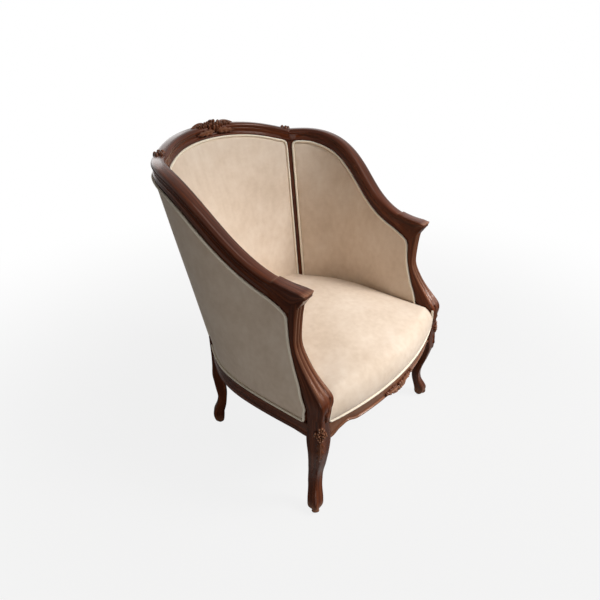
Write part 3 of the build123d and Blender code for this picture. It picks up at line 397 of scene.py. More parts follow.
def setStage(look):
    # world: white for the camera, for gloss and through glass, while a dimmer white gives the light;
    # floor: paper that the camera sees glowing, more so away from the chair
    world = bpy.data.worlds.new("studio")
    world.use_nodes = True
    bpy.context.scene.world = world
    tree = world.node_tree
    tree.nodes.clear()
    white = (1, 1, 1, 1)
    ray = addNode(tree, "ShaderNodeLightPath").outputs
    seen = ray["Is Camera Ray"]
    for other in ("Is Transmission Ray", "Is Glossy Ray"):
        seen = addNode(tree, "ShaderNodeMath", {0: seen, 1: ray[other]}, operation="MAXIMUM").outputs[0]
    dim = addNode(tree, "ShaderNodeBackground", {"Color": white, "Strength": look["dim"]})
    bright = addNode(tree, "ShaderNodeBackground", {"Color": white, "Strength": 1.0})
    mixed = addNode(tree, "ShaderNodeMixShader", {0: seen, 1: dim.outputs[0], 2: bright.outputs[0]})
    addNode(tree, "ShaderNodeOutputWorld", {"Surface": mixed.outputs[0]})
    half, low = look["half"], -look["below"]
    mesh = bpy.data.meshes.new("floor")
    corners = [(-half, -half, low), (half, -half, low), (half, half, low), (-half, half, low)]
    mesh.from_pydata(corners, [], [(0, 1, 2, 3)])
    material, tree, shader = startMaterial("white_paper_floor")
    feed(tree, shader, {"Base Color": linear(look["paper"]), "Roughness": look["roughness"]})
    ray = addNode(tree, "ShaderNodeLightPath").outputs
    glow = addNode(tree, "ShaderNodeEmission", {"Color": white, "Strength": 1.0})
    place = addNode(tree, "ShaderNodeTexCoord").outputs["Object"]
    away = addNode(tree, "ShaderNodeVectorMath", {0: place}, operation="LENGTH").outputs["Value"]
    fade = addNode(tree, "ShaderNodeMapRange", {
        "Value": away, "From Min": look["glowFrom"], "From Max": look["glowTo"], "To Min": look["glow"][0],
        "To Max": look["glow"][1]}, interpolation_type="SMOOTHSTEP")
    share = addNode(tree, "ShaderNodeMath", {0: ray["Is Camera Ray"], 1: fade.outputs[0]}, operation="MULTIPLY")
    mixed = addNode(tree, "ShaderNodeMixShader", {0: share.outputs[0], 1: shader.outputs[0], 2: glow.outputs[0]})
    feed(tree, tree.nodes["Material Output"], {"Surface": mixed.outputs[0]})
    mesh.materials.append(material)
    floor = bpy.data.objects.new("floor", mesh)
    bpy.context.scene.collection.objects.link(floor)


setCamera(viewLook)
setLamps(lampLook, spotLook)
bpy.context.scene.view_settings.view_transform = "Standard"
setStage(stageLook)
print("camera, lamps and floor set")

# Lines of the frame, right half, in mm
frameLines = {
    "crest": ((0, 343, 914), (95, 333, 910), (178, 305, 898), (259, 254, 875)),
    "arm": ((259, 254, 875), (303, 196, 875), (330, 96, 849), (323, 0, 777), (305, -75, 706), (291, -160, 660),
            (283, -265, 645)),
    "sideRail": ((223.7, 183.7, 0), (303, 45, 0), (323, -105, 0), (318, -295, 0)),
    "legBlock": (295, -295), "legFront": -320, "postBase": (211, 171), "seatTop": 330, "stileTop": 841,
    "frontRadius": 909.5, "frontAxis": 548.5, "rearMiddle": 245, "rearEnd": (223.73, 183.73)}
crestHalf = np.array(frameLines["crest"]) * mm
crestLine = curveThrough(np.concatenate([crestHalf[:0:-1] * flip, crestHalf]), 600)
armLine = curveThrough(np.array(frameLines["arm"]) * mm, 600)
armShares = np.linspace(0, 1, len(armLine))
sideLine = curveThrough(np.array(frameLines["sideRail"]) * mm, 400)
mitre = unit(unit(crestLine[-1] - crestLine[-3]) + unit(armLine[2] - armLine[0]))
seatTop, legFront = frameLines["seatTop"] * mm, frameLines["legFront"] * mm
frontR, frontY = frameLines["frontRadius"] * mm, frameLines["frontAxis"] * mm
rearMiddle = frameLines["rearMiddle"] * mm
rearHalf, rearEndY = np.array(frameLines["rearEnd"]) * mm
rearSag = rearMiddle - rearEndY
rearR = (rearHalf**2 + rearSag**2) / (2 * rearSag)  # circle through the middle and both ends
rearY = rearMiddle - rearR


def frontLineY(x, inset=0.0):
    # bow of the front rail: a circle about an upright axis on the middle plane
    return frontY - np.sqrt((frontR - inset) ** 2 - np.asarray(x) ** 2)


def rearLineY(x, inset=0.0):
    # bow of the rear rail: a circle in the same way
    return rearY + np.sqrt((rearR - inset) ** 2 - np.asarray(x) ** 2)


def armShareAt(y):
    # share of the arm's length at a distance from the back
    return np.interp(-y, -armLine[:, 1], armShares)


def stileAt(z):
    # middle of the back post: upright to the seat rails, then straight up to the back corner
    z = np.asarray(z, float)[:, None]
    base = np.array(frameLines["postBase"]) * mm
    rise = np.clip((z - seatTop) / (frameLines["stileTop"] * mm - seatTop), 0, None)
    return np.concatenate([base + (crestHalf[-1][:2] - base) * rise, z], -1)


def wholeSection(half):
    # left half and middle with the right half mirrored, and corners cut: each side keeps its middle half
    half = np.array(half)
    ring = np.concatenate([half, half[-2::-1] * (-1, 1)])
    after = np.roll(ring, -1, axis=0)
    return np.stack([0.75 * ring + 0.25 * after, 0.25 * ring + 0.75 * after], 1).reshape(-1, 2)


# Top rails: a bead along the top, a hollow below it and a small bead above the welt, on both faces;
# near the mitres the hollow is filled, so that the dowels stay inside
railLook = {"width": 36, "height": 34, "hollow": (-0.82, -0.36), "filled": 0.95, "fillFrom": 22, "fillTo": 50}
mouldedSection = wholeSection((
    (-0.84, -1.00), (-0.98, -0.98), (-1.02, -0.90), (-0.97, -0.81), (-0.84, -0.79), (-0.78, -0.70),
    (-0.77, -0.58), (-0.82, -0.47), (-0.93, -0.41), (-0.90, -0.37), (-1.00, -0.33), (-1.03, -0.20),
    (-0.95, -0.06), (-0.76, 0.04), (-0.40, 0.07), (0.00, 0.075)))
handSection = wholeSection((
    (-0.78, -1.00), (-0.90, -0.985), (-0.94, -0.93), (-0.95, -0.86), (-0.95, -0.78), (-0.95, -0.70),
    (-0.95, -0.62), (-0.95, -0.53), (-0.95, -0.45), (-0.95, -0.38), (-0.96, -0.30), (-1.00, -0.20),
    (-1.05, -0.12), (-1.03, -0.04), (-0.92, 0.01), (0.00, 0.03)))
sectionX, sectionY = mouldedSection.T
hollow = (sectionY > railLook["hollow"][0]) & (sectionY < railLook["hollow"][1])
filledX = np.where(hollow, np.sign(sectionX) * np.maximum(np.abs(sectionX), railLook["filled"]), sectionX)
cornerChange = np.stack([filledX - sectionX, 0 * sectionX], -1)


def railSection(away):
    # moulded section, with the hollow filled by an eased share towards the mitre
    corner = 1 - ease(railLook["fillFrom"] * mm, railLook["fillTo"] * mm, away)
    return mouldedSection + cornerChange * corner[:, None, None]


def buildCrest(look):
    # moulded section swept along the bow, with both ends cut to the mitres
    path = resample(crestLine, np.linspace(0, 1, 140))
    frames = travelFrames(path, mitre * (1, -1, -1), mitre)
    run = lengthsAlong(path)
    profile = railSection(np.minimum(run, run[-1] - run)) * (look["width"] / 2 * mm, look["height"] * mm)
    woodPiece("moulded_crest_rail", sweep(path, frames, profile), woodLook["wearAndHighlight"], "crest_rail")


# The hand is a raised pad past a step in the arm's top, flaring to a tip whose underside sweeps back to the post
handLook = {
    # the tip's pale colour is partly worn stain and partly painted highlight; the lip's is painted highlight only
    "stepY": -168, "tipY": -257, "lift": 4.0, "flare": 0.1875, "tipWearAndHighlight": 0.6, "lipHighlight": 0.5,
    # shares of the arm's length from the step: rows added there, the blend to the hand's section, and the step
    "stepRows": (-0.004, -0.0005, 0.0015, 0.005), "blend": (-0.06, 0.04), "stepRun": (-0.0008, 0.002),
    "tipRings": ((0.94, 1.4), (0.75, 2.6), (0.4, 3.0)),  # size and reach of the rings that close the tip
    "sections": (  # distance from the back, width, height
        (254, 36, 34), (196, 36, 35), (150, 38, 38), (0, 39, 39), (-75, 38, 39), (-150, 35, 42), (-170, 34, 44),
        (-190, 34, 50), (-205, 34, 58), (-222, 34, 63), (-231, 34, 55), (-238, 34, 43), (-245, 34, 31),
        (-252, 34, 19), (-258, 34, 9))}


def armSize(shares):
    # width and height of the arm by its distance from the back
    y, width, height = np.array(handLook["sections"], float).T * mm
    where = np.interp(shares, armShares, armLine[:, 1])
    return np.interp(-where, -y, width), np.interp(-where, -y, height)


def buildArms(look):
    # moulded section swept along the arm and blended into the hand's; past the step its top is lifted, towards
    # the tip its upper part flares, and shrinking rings close the tip
    step, tip = armShareAt(np.array([look["stepY"], look["tipY"]]) * mm)
    shares = np.sort(np.concatenate([np.linspace(0, tip, 190), step + np.array(look["stepRows"])]))
    path = resample(armLine, shares)
    frames = travelFrames(path, mitre)
    width, height = armSize(shares)
    hand = ease(*look["blend"], shares - step)[:, None, None]
    profile = railSection(lengthsAlong(path)) + (handSection - mouldedSection) * hand
    profile = profile * np.stack([width / 2, height], -1)[:, None]
    lift = ease(*look["stepRun"], shares - step) * (1 - 0.5 * ease(tip - 0.03, tip, shares))
    profile[..., 1] += look["lift"] * mm * lift[:, None] * ease(-0.5, 0, profile[..., 1] / height[:, None])
    flare = ease(tip - 0.1, tip, shares)[:, None] * ease(-0.6, 0, profile[..., 1] / height[:, None])
    profile[..., 0] *= 1 + look["flare"] * flare
    grid = sweep(path, frames, profile)
    middle, end = grid[-1].mean(axis=0), frames[0][-1]
    rings = [middle + (grid[-1] - middle) * share + end * reach * mm for share, reach in look["tipRings"]]
    grid = np.concatenate([grid, rings])
    # painted light on the hand: the tip paler, partly worn and partly painted highlight, and a band of painted
    # highlight along the lip of the step; both mostly on the upper faces, where the light falls from above
    atTip = np.append(ease(tip - 0.02, tip, shares), np.ones(len(rings)))[:, None]
    atLip = np.append(np.exp(-((shares - step) / 0.006) ** 2), np.zeros(len(rings)))[:, None]
    upper = ease(-0.1, 0, handSection[:, 1])
    wornAndLit = (woodLook["wearAndHighlight"] + look["tipWearAndHighlight"] * atTip) * (0.3 + 0.7 * upper)
    woodPair("moulded_arm", grid, np.maximum(wornAndLit, look["lipHighlight"] * atLip * upper), "arm_rail")


buildCrest(railLook)
buildArms(handLook)
print("crest and arms built")

# Arm posts: share of height, front face behind the leg's face, depth, width and shift outwards, in mm
postLook = {
    "rows": (
        (0.00, 0, 47, 40, 3.5), (0.05, -2, 50, 40, 3.5), (0.16, -4, 62, 53, -1), (0.27, 20, 49, 46, -0.5),
        (0.37, 47, 36, 38, 0), (0.49, 72, 23, 34, 0), (0.59, 86, 17, 32, 0), (0.72, 88, 20, 32, 0),
        (0.88, 84, 27, 32, 0), (1.00, 78, 38, 32, 0)),
    "corner": 6.0, "topSink": 27, "reedDepth": 3.4, "reedFrom": 0.17, "reedTo": 0.27, "reedHighlight": 0.55}
postRows = np.array(postLook["rows"], float)
postTopY = legFront + (postRows[-1, 1] + postRows[-1, 2] / 2) * mm
postTop = readOff(-postTopY, -armLine[:, 1], armLine) - upward * postLook["topSink"] * mm
blockRing = squareRing(96, postLook["corner"])


def postAt(shares):
    # middle, half depth and half width of the post at shares of its height
    offset, depth, width, shift = cubic(postRows[:, 0], postRows[:, 1:], shares).T * mm
    footX = frameLines["legBlock"][0] * mm
    x = footX + (postTop[0] - footX) * shares + shift
    z = seatTop + (postTop[2] - seatTop) * shares
    return np.stack([x, legFront + offset + depth / 2, z], -1), depth / 2, width / 2


def buildPosts(look):
    # superellipse rings up the post; down the front are three reeds of half a sine each, with grooves between
    shares = np.linspace(0, 1, 110)
    middle, depth, width = postAt(shares)
    front = ease(0.7, 0.95, -blockRing[:, 1])
    fade = ease(look["reedFrom"], look["reedTo"], shares)[:, None]
    reeds = 1 - np.abs(np.sin(1.5 * math.pi * (blockRing[:, 0] + 1)))
    x = blockRing[:, 0] * width[:, None]
    y = blockRing[:, 1] * depth[:, None] + look["reedDepth"] * mm * front * reeds * fade
    grid = middle[:, None] + np.stack([x, y, 0 * x], -1)
    # painted highlight: the pale colour runs in lines along the reeds' crests, where they catch the light
    woodPair("reeded_post", grid, woodLook["wearAndHighlight"] + look["reedHighlight"] * fade * front * (1 - reeds), "arm_post")


buildPosts(postLook)

# Legs at even steps from the foot: outward bulge on the diagonal, side, in mm
legLook = {"frontRows": ((0, 26), (4, 34), (-2, 32), (-11, 27), (-16, 25), (-16, 25), (-11, 26), (-4, 28), (2, 31),
                         (6, 35), (8, 40), (4, 46), (0, 50)), "frontFoot": (309, -293), "frontPaleness": 0.8,
           "rearRows": ((0, 26), (3, 34), (3, 36), (-4, 33), (-8, 30), (-9, 30), (-6, 32), (-3, 34), (0, 36),
                        (2, 38), (1, 39), (0, 41), (0, 42)), "rearFoot": (236, 170), "rearWearAndHighlight": 0.6,
           "frontPaleFade": (0.03, 0.16), "rearPaleFade": (0.03, 0.15),  # where the feet's paleness fades out, in shares of height: partly worn stain, partly painted highlight
           "footZ": 3, "baseZ": 262, "blockRun": 30, "footClose": 0.6, "footFrom": 2, "footRun": 16,
           "across": ((0, 1.0), (0.12, 1.02), (0.35, 1.28), (0.6, 1.28), (0.85, 1.08), (1, 1)),
           "stileZ": (330, 338, 346, 360, 420, 500, 600, 700, 800, 845),
           "stileHalf": ((21, 21), (17, 20), (10.5, 17), (8, 15)) + ((8, 14.5),) * 6}  # half width and depth


def legRings(rows, foot, base, diagonal, turn, across, look):
    # superellipse rings on a line from foot to base that swings out along the diagonal; each is
    # widened across the diagonal, and the lowest ones close in to a rounded foot
    shares = np.linspace(0, 1, 90)
    bulge, side = cubic(np.linspace(0, 1, len(rows)), rows, shares).T * mm
    foot, base = (np.array([*p, 0.0]) * mm for p in (foot, base))
    middle = foot + (base - foot) * shares[:, None] + diagonal * bulge[:, None]
    middle[:, 2] = (look["footZ"] + (look["baseZ"] - look["footZ"]) * shares) * mm
    c, s = math.cos(turn), math.sin(turn)
    x, y = blockRing.T
    ring = np.stack([x * c - y * s, x * s + y * c, 0 * x], -1)
    beside = np.cross(upward, diagonal)
    wide = np.interp(shares, *np.array(across, float).T)[:, None, None]
    shape = ring[None] + (wide - 1) * (ring @ beside)[None, :, None] * beside
    low = 1 - np.clip((middle[:, 2] - look["footFrom"] * mm) / (look["footRun"] * mm), 0, 1)
    close = look["footClose"] + (1 - look["footClose"]) * np.sqrt(1 - low**2)
    return middle[:, None] + shape * (side / 2 * close)[:, None, None], ring, shares


def buildLegs(look):
    # front: rings up to the block below the post; rear: rings up to the stile, which narrows above the seat
    grid, ring, shares = legRings(
        look["frontRows"], look["frontFoot"], frameLines["legBlock"], frontDiag, 0, look["across"], look)
    middle, depth, width = postAt(np.zeros(1))
    top = middle + ring * (width[0], depth[0], 0)
    front = np.concatenate([grid, (top - upward * look["blockRun"] * mm)[None], top[None]])
    # the feet paler towards the ground, partly worn stain and partly painted highlight on the toes
    wornAndLit = np.append(look["frontPaleness"] * (1 - ease(*look["frontPaleFade"], shares)), np.zeros(2))
    woodPair("cabriole_leg", front, woodLook["wearAndHighlight"] + wornAndLit[:, None], "front_leg")
    grid, ring, shares = legRings(
        look["rearRows"], look["rearFoot"], frameLines["postBase"], rearDiag, math.pi / 4, ((0, 1), (1, 1)), look)
    narrow, deep = np.array(look["stileHalf"]).T[..., None, None] * mm
    upper = (stileAt(np.array(look["stileZ"]) * mm)[:, None] + (ring @ frontDiag)[:, None] * frontDiag * narrow
             + (ring @ rearDiag)[:, None] * rearDiag * deep)
    wornAndLit = np.append(look["rearWearAndHighlight"] * (1 - ease(*look["rearPaleFade"], shares)), np.zeros(len(upper)))
    woodPair("back_post_shaped", np.concatenate([grid, upper]), woodLook["wearAndHighlight"] + wornAndLit[:, None], "back_post")
    return front


knee = buildLegs(legLook)
print("posts and legs built")

# Seat rails: a bead along the lower edge and a quirk above it; the edge dips to the knees and the middle
seatRailLook = {
    "bottom": 265, "ledge": 304.5, "frontHalf": 285, "rearHalf": 200, "sideEnds": (0.03, 0.978), "apron": 14,
    "apronHalf": 75, "kneeX": 274, "knee": 15, "kneeRun": 30, "rise": 10, "riseAt": 54, "riseRun": 21,
    # the front rail's paleness is painted light, standing for its face lit from the front
    "sideBlock": 20, "sideKnee": 4, "sideKneeRun": 50, "frontPaleness": 0.75, "wearAndHighlight": 0.1,
    # section up the face and down the back: depth behind the face; heights above the lower edge for the bead,
    # as shares of the face, about the ledge, and at the back
    "depth": (4, 1.2, 0, 0.2, 1.8, 4.0, 3.4, 2.2, 1.3, 0.9, 1.0, 2.0, 5, 25, 25, 20),
    "bead": (0, 0.5, 2.6, 4.8, 6.2, 7.2, 9.0), "face": (0.45, 0.7, 0.9), "lip": (-0.7, 0, 0.3, 0), "back": (1, 0)}


def railGrid(line, out, bottom, look):
    # the section set back from the face at each place along the rail
    low, ledge = bottom[:, None], look["ledge"] * mm
    bead = low + np.array(look["bead"]) * mm
    face = bead[:, -1:] + (ledge - bead[:, -1:]) * look["face"]
    lip = np.broadcast_to(ledge + np.array(look["lip"]) * mm, (len(bottom), len(look["lip"])))
    height = np.concatenate([bead, face, lip, low + np.array(look["back"]) * mm], axis=1)
    depth = np.array(look["depth"])[:, None] * mm
    return np.concatenate([line[:, None, :2] - out[:, None, :2] * depth, height[..., None]], -1)


def buildSeatRails(look):
    # front: a circle's bow whose edge falls by a squared cosine to the apron and eases down to the knees, with a
    # bell-shaped rise between; rear: a circle's bow; sides: the serpentine line, easing down to the front legs
    bottom = look["bottom"] * mm
    x = np.linspace(-look["frontHalf"], look["frontHalf"], 140) * mm
    line = np.stack([x, frontLineY(x), 0 * x], -1)
    apron = look["apron"] * mm * np.cos(np.clip(x / (look["apronHalf"] * mm), -1, 1) * math.pi / 2) ** 2
    near = look["kneeX"] * mm - np.abs(x)
    dip = look["knee"] * mm * (1 - ease(0, look["kneeRun"] * mm, near))
    rise = look["rise"] * mm * np.exp(-((near - look["riseAt"] * mm) / (look["riseRun"] * mm)) ** 2)
    grid = railGrid(line, (line - (0, frontY, 0)) / frontR, bottom - apron - dip + rise, look)
    # the whole front rail in the pale colour: painted light on the face turned to the lamps
    woodPiece("front_moulded", grid, look["frontPaleness"], "front_seat_rail")
    x = np.linspace(-look["rearHalf"], look["rearHalf"], 70) * mm
    line = np.stack([x, rearLineY(x), 0 * x], -1)
    grid = railGrid(line, (line - (0, rearY, 0)) / rearR, np.full(len(x), bottom), look)
    woodPiece("rear_moulded", grid, look["wearAndHighlight"], "rear_seat_rail")
    shares = np.linspace(*look["sideEnds"], 110)
    line = resample(sideLine, shares)
    near = (1 - shares) * lengthsAlong(sideLine)[-1] - look["sideBlock"] * mm
    dip = look["sideKnee"] * mm * (1 - ease(0, look["sideKneeRun"] * mm, near))
    woodPair("side_moulded", railGrid(line, travelFrames(line)[1], bottom - dip, look), look["wearAndHighlight"], "seat_rail")


buildSeatRails(seatRailLook)
print("seat rails built")

# Covers: each panel is a patch between four border lines, swollen towards the sitter or the outside
coverLook = {
    "stileStrip": 10.6, "stileFace": 13.5, "edgeIn": 1.5, "drop": 3.4, "postIn": 1.4, "blockHalf": 25,
    "blockTop": 345, "blockRear": -270, "foot": 350, "rail": 309, "sideDepth": 35, "backDepth": 33, "outDepth": 5,
    "soften": 8.5, "crisp": 4, "softFrom": 50, "softTo": 140, "edgeRun": 6, "tuck": 1, "welt": 3.4, "proud": 2.4,
    "weltStep": 4, "padThick": 12, "coverThick": 4, "padFill": 0.85, "coverFill": 0.95, "rebateUnder": 5,
    "rebateOver": 2, "footEnds": (0.07, 0.945), "footHalf": 190,
    # rise of the crown and of the edge
    "sideInside": (7, 3), "sideOutside": (2.5, 1.5), "backInside": (10, 3), "backOutside": (3, 6.5)}


def coons(bottom, top, start, end):
    # Coons patch: the two ruled surfaces between facing borders, less the one through the corners
    u = np.linspace(0, 1, len(bottom))[None, :, None]
    v = np.linspace(0, 1, len(start))[:, None, None]
    corners = (1 - u) * (1 - v) * bottom[0] + u * (1 - v) * bottom[-1] + (1 - u) * v * top[0] + u * v * top[-1]
    return (1 - v) * bottom[None] + v * top[None] + (1 - u) * start[:, None] + u * end[:, None] - corners


def fitEnds(line, start, end):
    # the line with its ends moved to two points and the shift shared out along it
    t = np.linspace(0, 1, len(line))[:, None]
    return line + (1 - t) * (start - line[0]) + t * (end - line[-1])


def softenLoop(borders, spread):
    # closed border run smoothed by a bell curve along its length, which rounds its corners
    loop = np.concatenate([b[:-1] for b in borders])
    loop = np.concatenate([loop, loop[:1]])
    run = lengthsAlong(loop)
    steps = 2400
    width = run[-1] / steps
    even = readOff(np.linspace(0, run[-1], steps, endpoint=False), run, loop)
    reach = int(4 * spread / width)  # the bell is cut off at four times its spread
    even = bellSmooth(np.concatenate([even[-reach:], even, even[:reach]]), reach, spread / width)
    even = np.concatenate([even, even[:1]])
    ends = run[np.cumsum([0] + [len(b) - 1 for b in borders])] / width
    return [readOff(np.linspace(ends[n], ends[n + 1], len(b)), np.arange(steps + 1), even)
            for n, b in enumerate(borders)]


def panel(borders, rises, facing, look):
    # patch swollen along its normal: a quick rise by the border and a long sine crown over the middle;
    # the border's corners are rounded, less so at the foot
    bottom, end, top, start = borders
    loop = [bottom, end, top[::-1], start[::-1]]
    soft, crisp = (softenLoop(loop, look[k] * mm) for k in ("soften", "crisp"))
    low = bottom[:, 2].mean()
    share = [ease(low + look["softFrom"] * mm, low + look["softTo"] * mm, line[:, 2])[:, None] for line in soft]
    bottom, end, top, start = (c + (w - c) * k for c, w, k in zip(crisp, soft, share))
    top, start = top[::-1], start[::-1]
    grid = coons(bottom, top, start, end)
    normal = unit(np.cross(np.gradient(grid, axis=1), np.gradient(grid, axis=0)))
    if np.sum(normal * facing) < 0:
        normal = -normal
    u = np.linspace(0, 1, grid.shape[1])[None, :]
    v = np.linspace(0, 1, grid.shape[0])[:, None]
    wide = np.linalg.norm(np.diff(grid, axis=1), axis=2).sum(axis=1)[:, None]
    tall = np.linalg.norm(np.diff(grid, axis=0), axis=2).sum(axis=0)[None, :]
    near = np.minimum(np.minimum(u, 1 - u) * wide, np.minimum(v, 1 - v) * tall)
    crown, edge = rises
    rise = (edge * (1 - np.exp(-near / (look["edgeRun"] * mm))) - look["tuck"]
            + crown * (np.sin(math.pi * u) * np.sin(math.pi * v)) ** 0.8) * mm
    soft = bottom, end, top, start
    sides = normal[0], normal[:, -1], normal[-1], normal[:, 0]
    welts = [line + side * look["proud"] * mm for line, side in zip(soft, sides)]
    return grid + normal * rise[..., None], normal, soft, welts


def padPiece(name, face, normal, thick, nodes, turn=asIs):
    # closed pad: the face, then its back a thickness behind it, in one ring for each row
    ring = np.concatenate([face, (face - normal * thick * mm)[:, ::-1]], axis=1)
    piece = meshPiece(name, ring * turn, suede, flatEnds=True, sharp=70)
    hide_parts(*nodes)
    return piece


# Stuffing: cloth under pressure from inside, held at its borders and back
swellLook = {"pressure": 4.0, "frames": 16, "steps": 3, "passes": 60, "sideMm": 6, "backMm": 7, "seatMm": 8}


def heldPad(shape):
    # everything but the inner part of the face
    held = np.ones((shape[0], shape[1] * 2), bool)
    held[2:-2, 2:shape[1] - 2] = False
    return held


def swell(piece, held, most, look):
    # cloth simulation over some frames; the moves are smoothed by averaging with their neighbours, which takes
    # out creases finer than the cloth, and scaled so that the largest is the given swell in mm
    mesh = piece.data
    before = np.empty(len(mesh.vertices) * 3, np.float32)
    mesh.vertices.foreach_get("co", before)
    group = piece.vertex_groups.new(name="held")
    group.add(np.flatnonzero(held).tolist(), 1.0, "REPLACE")
    cloth = piece.modifiers.new("stuffing", "CLOTH")
    cloth.settings.vertex_group_mass = "held"
    cloth.settings.quality = look["steps"]
    cloth.settings.use_pressure = True
    cloth.settings.uniform_pressure_force = look["pressure"]
    cloth.settings.effector_weights.gravity = 0
    cloth.point_cache.frame_end = look["frames"]
    for n in range(1, look["frames"] + 1):
        bpy.context.scene.frame_set(n)
    after = np.empty_like(before)
    piece.evaluated_get(bpy.context.evaluated_depsgraph_get()).data.vertices.foreach_get("co", after)
    piece.modifiers.remove(cloth)
    piece.vertex_groups.remove(group)
    bpy.context.scene.frame_set(1)
    move = (after - before).reshape(held.shape + (3,))
    free = (~held)[..., None]
    for _ in range(look["passes"]):
        around = sum(np.roll(move, by, axis) for axis in (0, 1) for by in (1, -1))
        move = free * (2 * move + around) / 6
    longest = float(np.linalg.norm(move, axis=-1).max())
    points = before.reshape(move.shape) + move * (most * mm / max(longest, 1e-6))
    mesh.vertices.foreach_set("co", points.astype(np.float32).ravel())
    mesh.update()
    print(piece.name, "swelled", round(longest / mm, 1), "mm, kept", most)
    return points


def weltPiece(name, path, node, turn=asIs):
    # piping: a tube along the border, in even steps
    count = max(int(lengthsAlong(path)[-1] / (coverLook["weltStep"] * mm)), 8)
    grid = tube(resample(path, np.linspace(0, 1, count)), coverLook["welt"] * mm)
    piece = meshPiece(name, grid * turn, piping, sharp=60)
    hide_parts(node)


def underRail(path, width, height, face, look):
    # line below a rail's inner or outer edge
    _, side, top = travelFrames(path)
    return path + side * face * (width / 2 - look["edgeIn"] * mm) - top * (height + look["drop"] * mm)


def underArm(shares, face, look):
    # the same below the arm, by its own width and height
    width, height = armSize(shares)
    return underRail(resample(armLine, shares), width[:, None], height[:, None], face, look)


def underCrest(shares, face, look):
    # the same below the crest
    return underRail(resample(crestLine, shares), railLook["width"] * mm, railLook["height"] * mm, face, look)


def besideStile(z, towards, face, look):
    # line beside the stile's strip, on its inner or outer side
    return stileAt(z) + (frontDiag * towards * look["stileStrip"] + rearDiag * face * look["stileFace"]) * mm


def fromStile(line):
    # distance of each point from the stile's middle, along the wall
    return np.sum((line - stileAt(line[:, 2])) * frontDiag, axis=1)


def behindPost(z, face, look):
    # line down the arm post's rear face, and behind the leg's block at the foot
    shares = (z - seatTop) / (postTop[2] - seatTop)
    middle, depth, width = postAt(np.clip(shares, 0, 1))
    rear = np.where(shares < 0, look["blockHalf"] * mm, depth)
    y = middle[:, 1] + rear + (look["drop"] - look["postIn"]) * mm
    y = np.where(z < look["blockTop"] * mm, np.maximum(y, (look["blockRear"] + look["drop"]) * mm), y)
    return np.stack([middle[:, 0] + face * (width - look["edgeIn"] * mm), y, z], -1)


def sideBorders(face, footZ, footDepth, look):
    # bottom, end at the post, top and start at the stile of a side panel; the top runs from where it passes the
    # stile's strip to where it meets the post's rear face
    early = np.linspace(0, 0.3, 200)
    first = np.interp(look["stileStrip"] * mm, fromStile(underArm(early, face, look)), early)
    late = np.linspace(armShareAt(-0.16), armShareAt(-0.25), 200)
    line = underArm(late, face, look)
    last = np.interp(0, behindPost(line[:, 2], face, look)[:, 1] - line[:, 1], late)
    top = underArm(np.linspace(first, last, 90), face, look)
    start = besideStile(np.linspace(footZ, top[0, 2], 70), 1, face, look)
    end = behindPost(np.linspace(footZ, top[-1, 2], 70), face, look)
    path = resample(sideLine, np.linspace(*look["footEnds"], 90))
    bottom = path - travelFrames(path)[1] * footDepth * mm
    bottom[:, 2] = footZ
    bottom = fitEnds(bottom, start[0], end[0])
    return bottom, fitEnds(end, bottom[-1], top[-1]), top, fitEnds(start, bottom[0], top[0])


def backBorders(face, footZ, footDepth, look):
    # the same for a back panel: its top runs between the two stiles' strips, and its bottom follows the rear bow
    late = np.linspace(0.75, 1, 200)
    reach = 1 - np.interp(-look["stileStrip"] * mm, fromStile(underCrest(late, face, look)), late)
    top = underCrest(np.linspace(reach, 1 - reach, 110), face, look)
    end = besideStile(np.linspace(footZ, top[-1, 2], 70), -1, face, look)
    start = end * flip
    x = np.linspace(-look["footHalf"], look["footHalf"], 110) * mm
    bottom = np.stack([x, rearLineY(x, footDepth * mm), np.full(len(x), footZ)], -1)
    bottom = fitEnds(bottom, start[0], end[0])
    return bottom, fitEnds(end, bottom[-1], top[-1]), top, fitEnds(start, bottom[0], top[0])


def openRun(lines, skip=0):
    # up the start, along the top and down the end of a panel's borders
    _, end, top, start = lines
    return np.concatenate([start[skip:-1], top[:-1], end[::-1][:len(end) - skip]])


def closedRun(lines):
    # all the way round a panel's borders
    bottom, end, top, start = lines
    return np.concatenate([bottom[:-1], end[:-1], top[:0:-1], start[:0:-1]])


def rebate(name, insideSharp, insideSoft, outsideSharp, outsideSoft, turns):
    # wood behind the welts: a four-cornered strip from the frame's edge to the covers' rounded borders
    a, b, c, d = (openRun(lines) for lines in (insideSharp, insideSoft, outsideSoft, outsideSharp))
    inward = unit((b + c) / 2 - (a + d) / 2 + 1e-4 * (b.mean(axis=0) - b))
    under, over = (inward * coverLook[k] * mm for k in ("rebateUnder", "rebateOver"))
    ring = np.stack([a - under, b + over, c + over, d - under], 1)
    for side, turn in turns:
        woodPiece(side + name, ring * turn, woodLook["wearAndHighlight"], sharp=30)


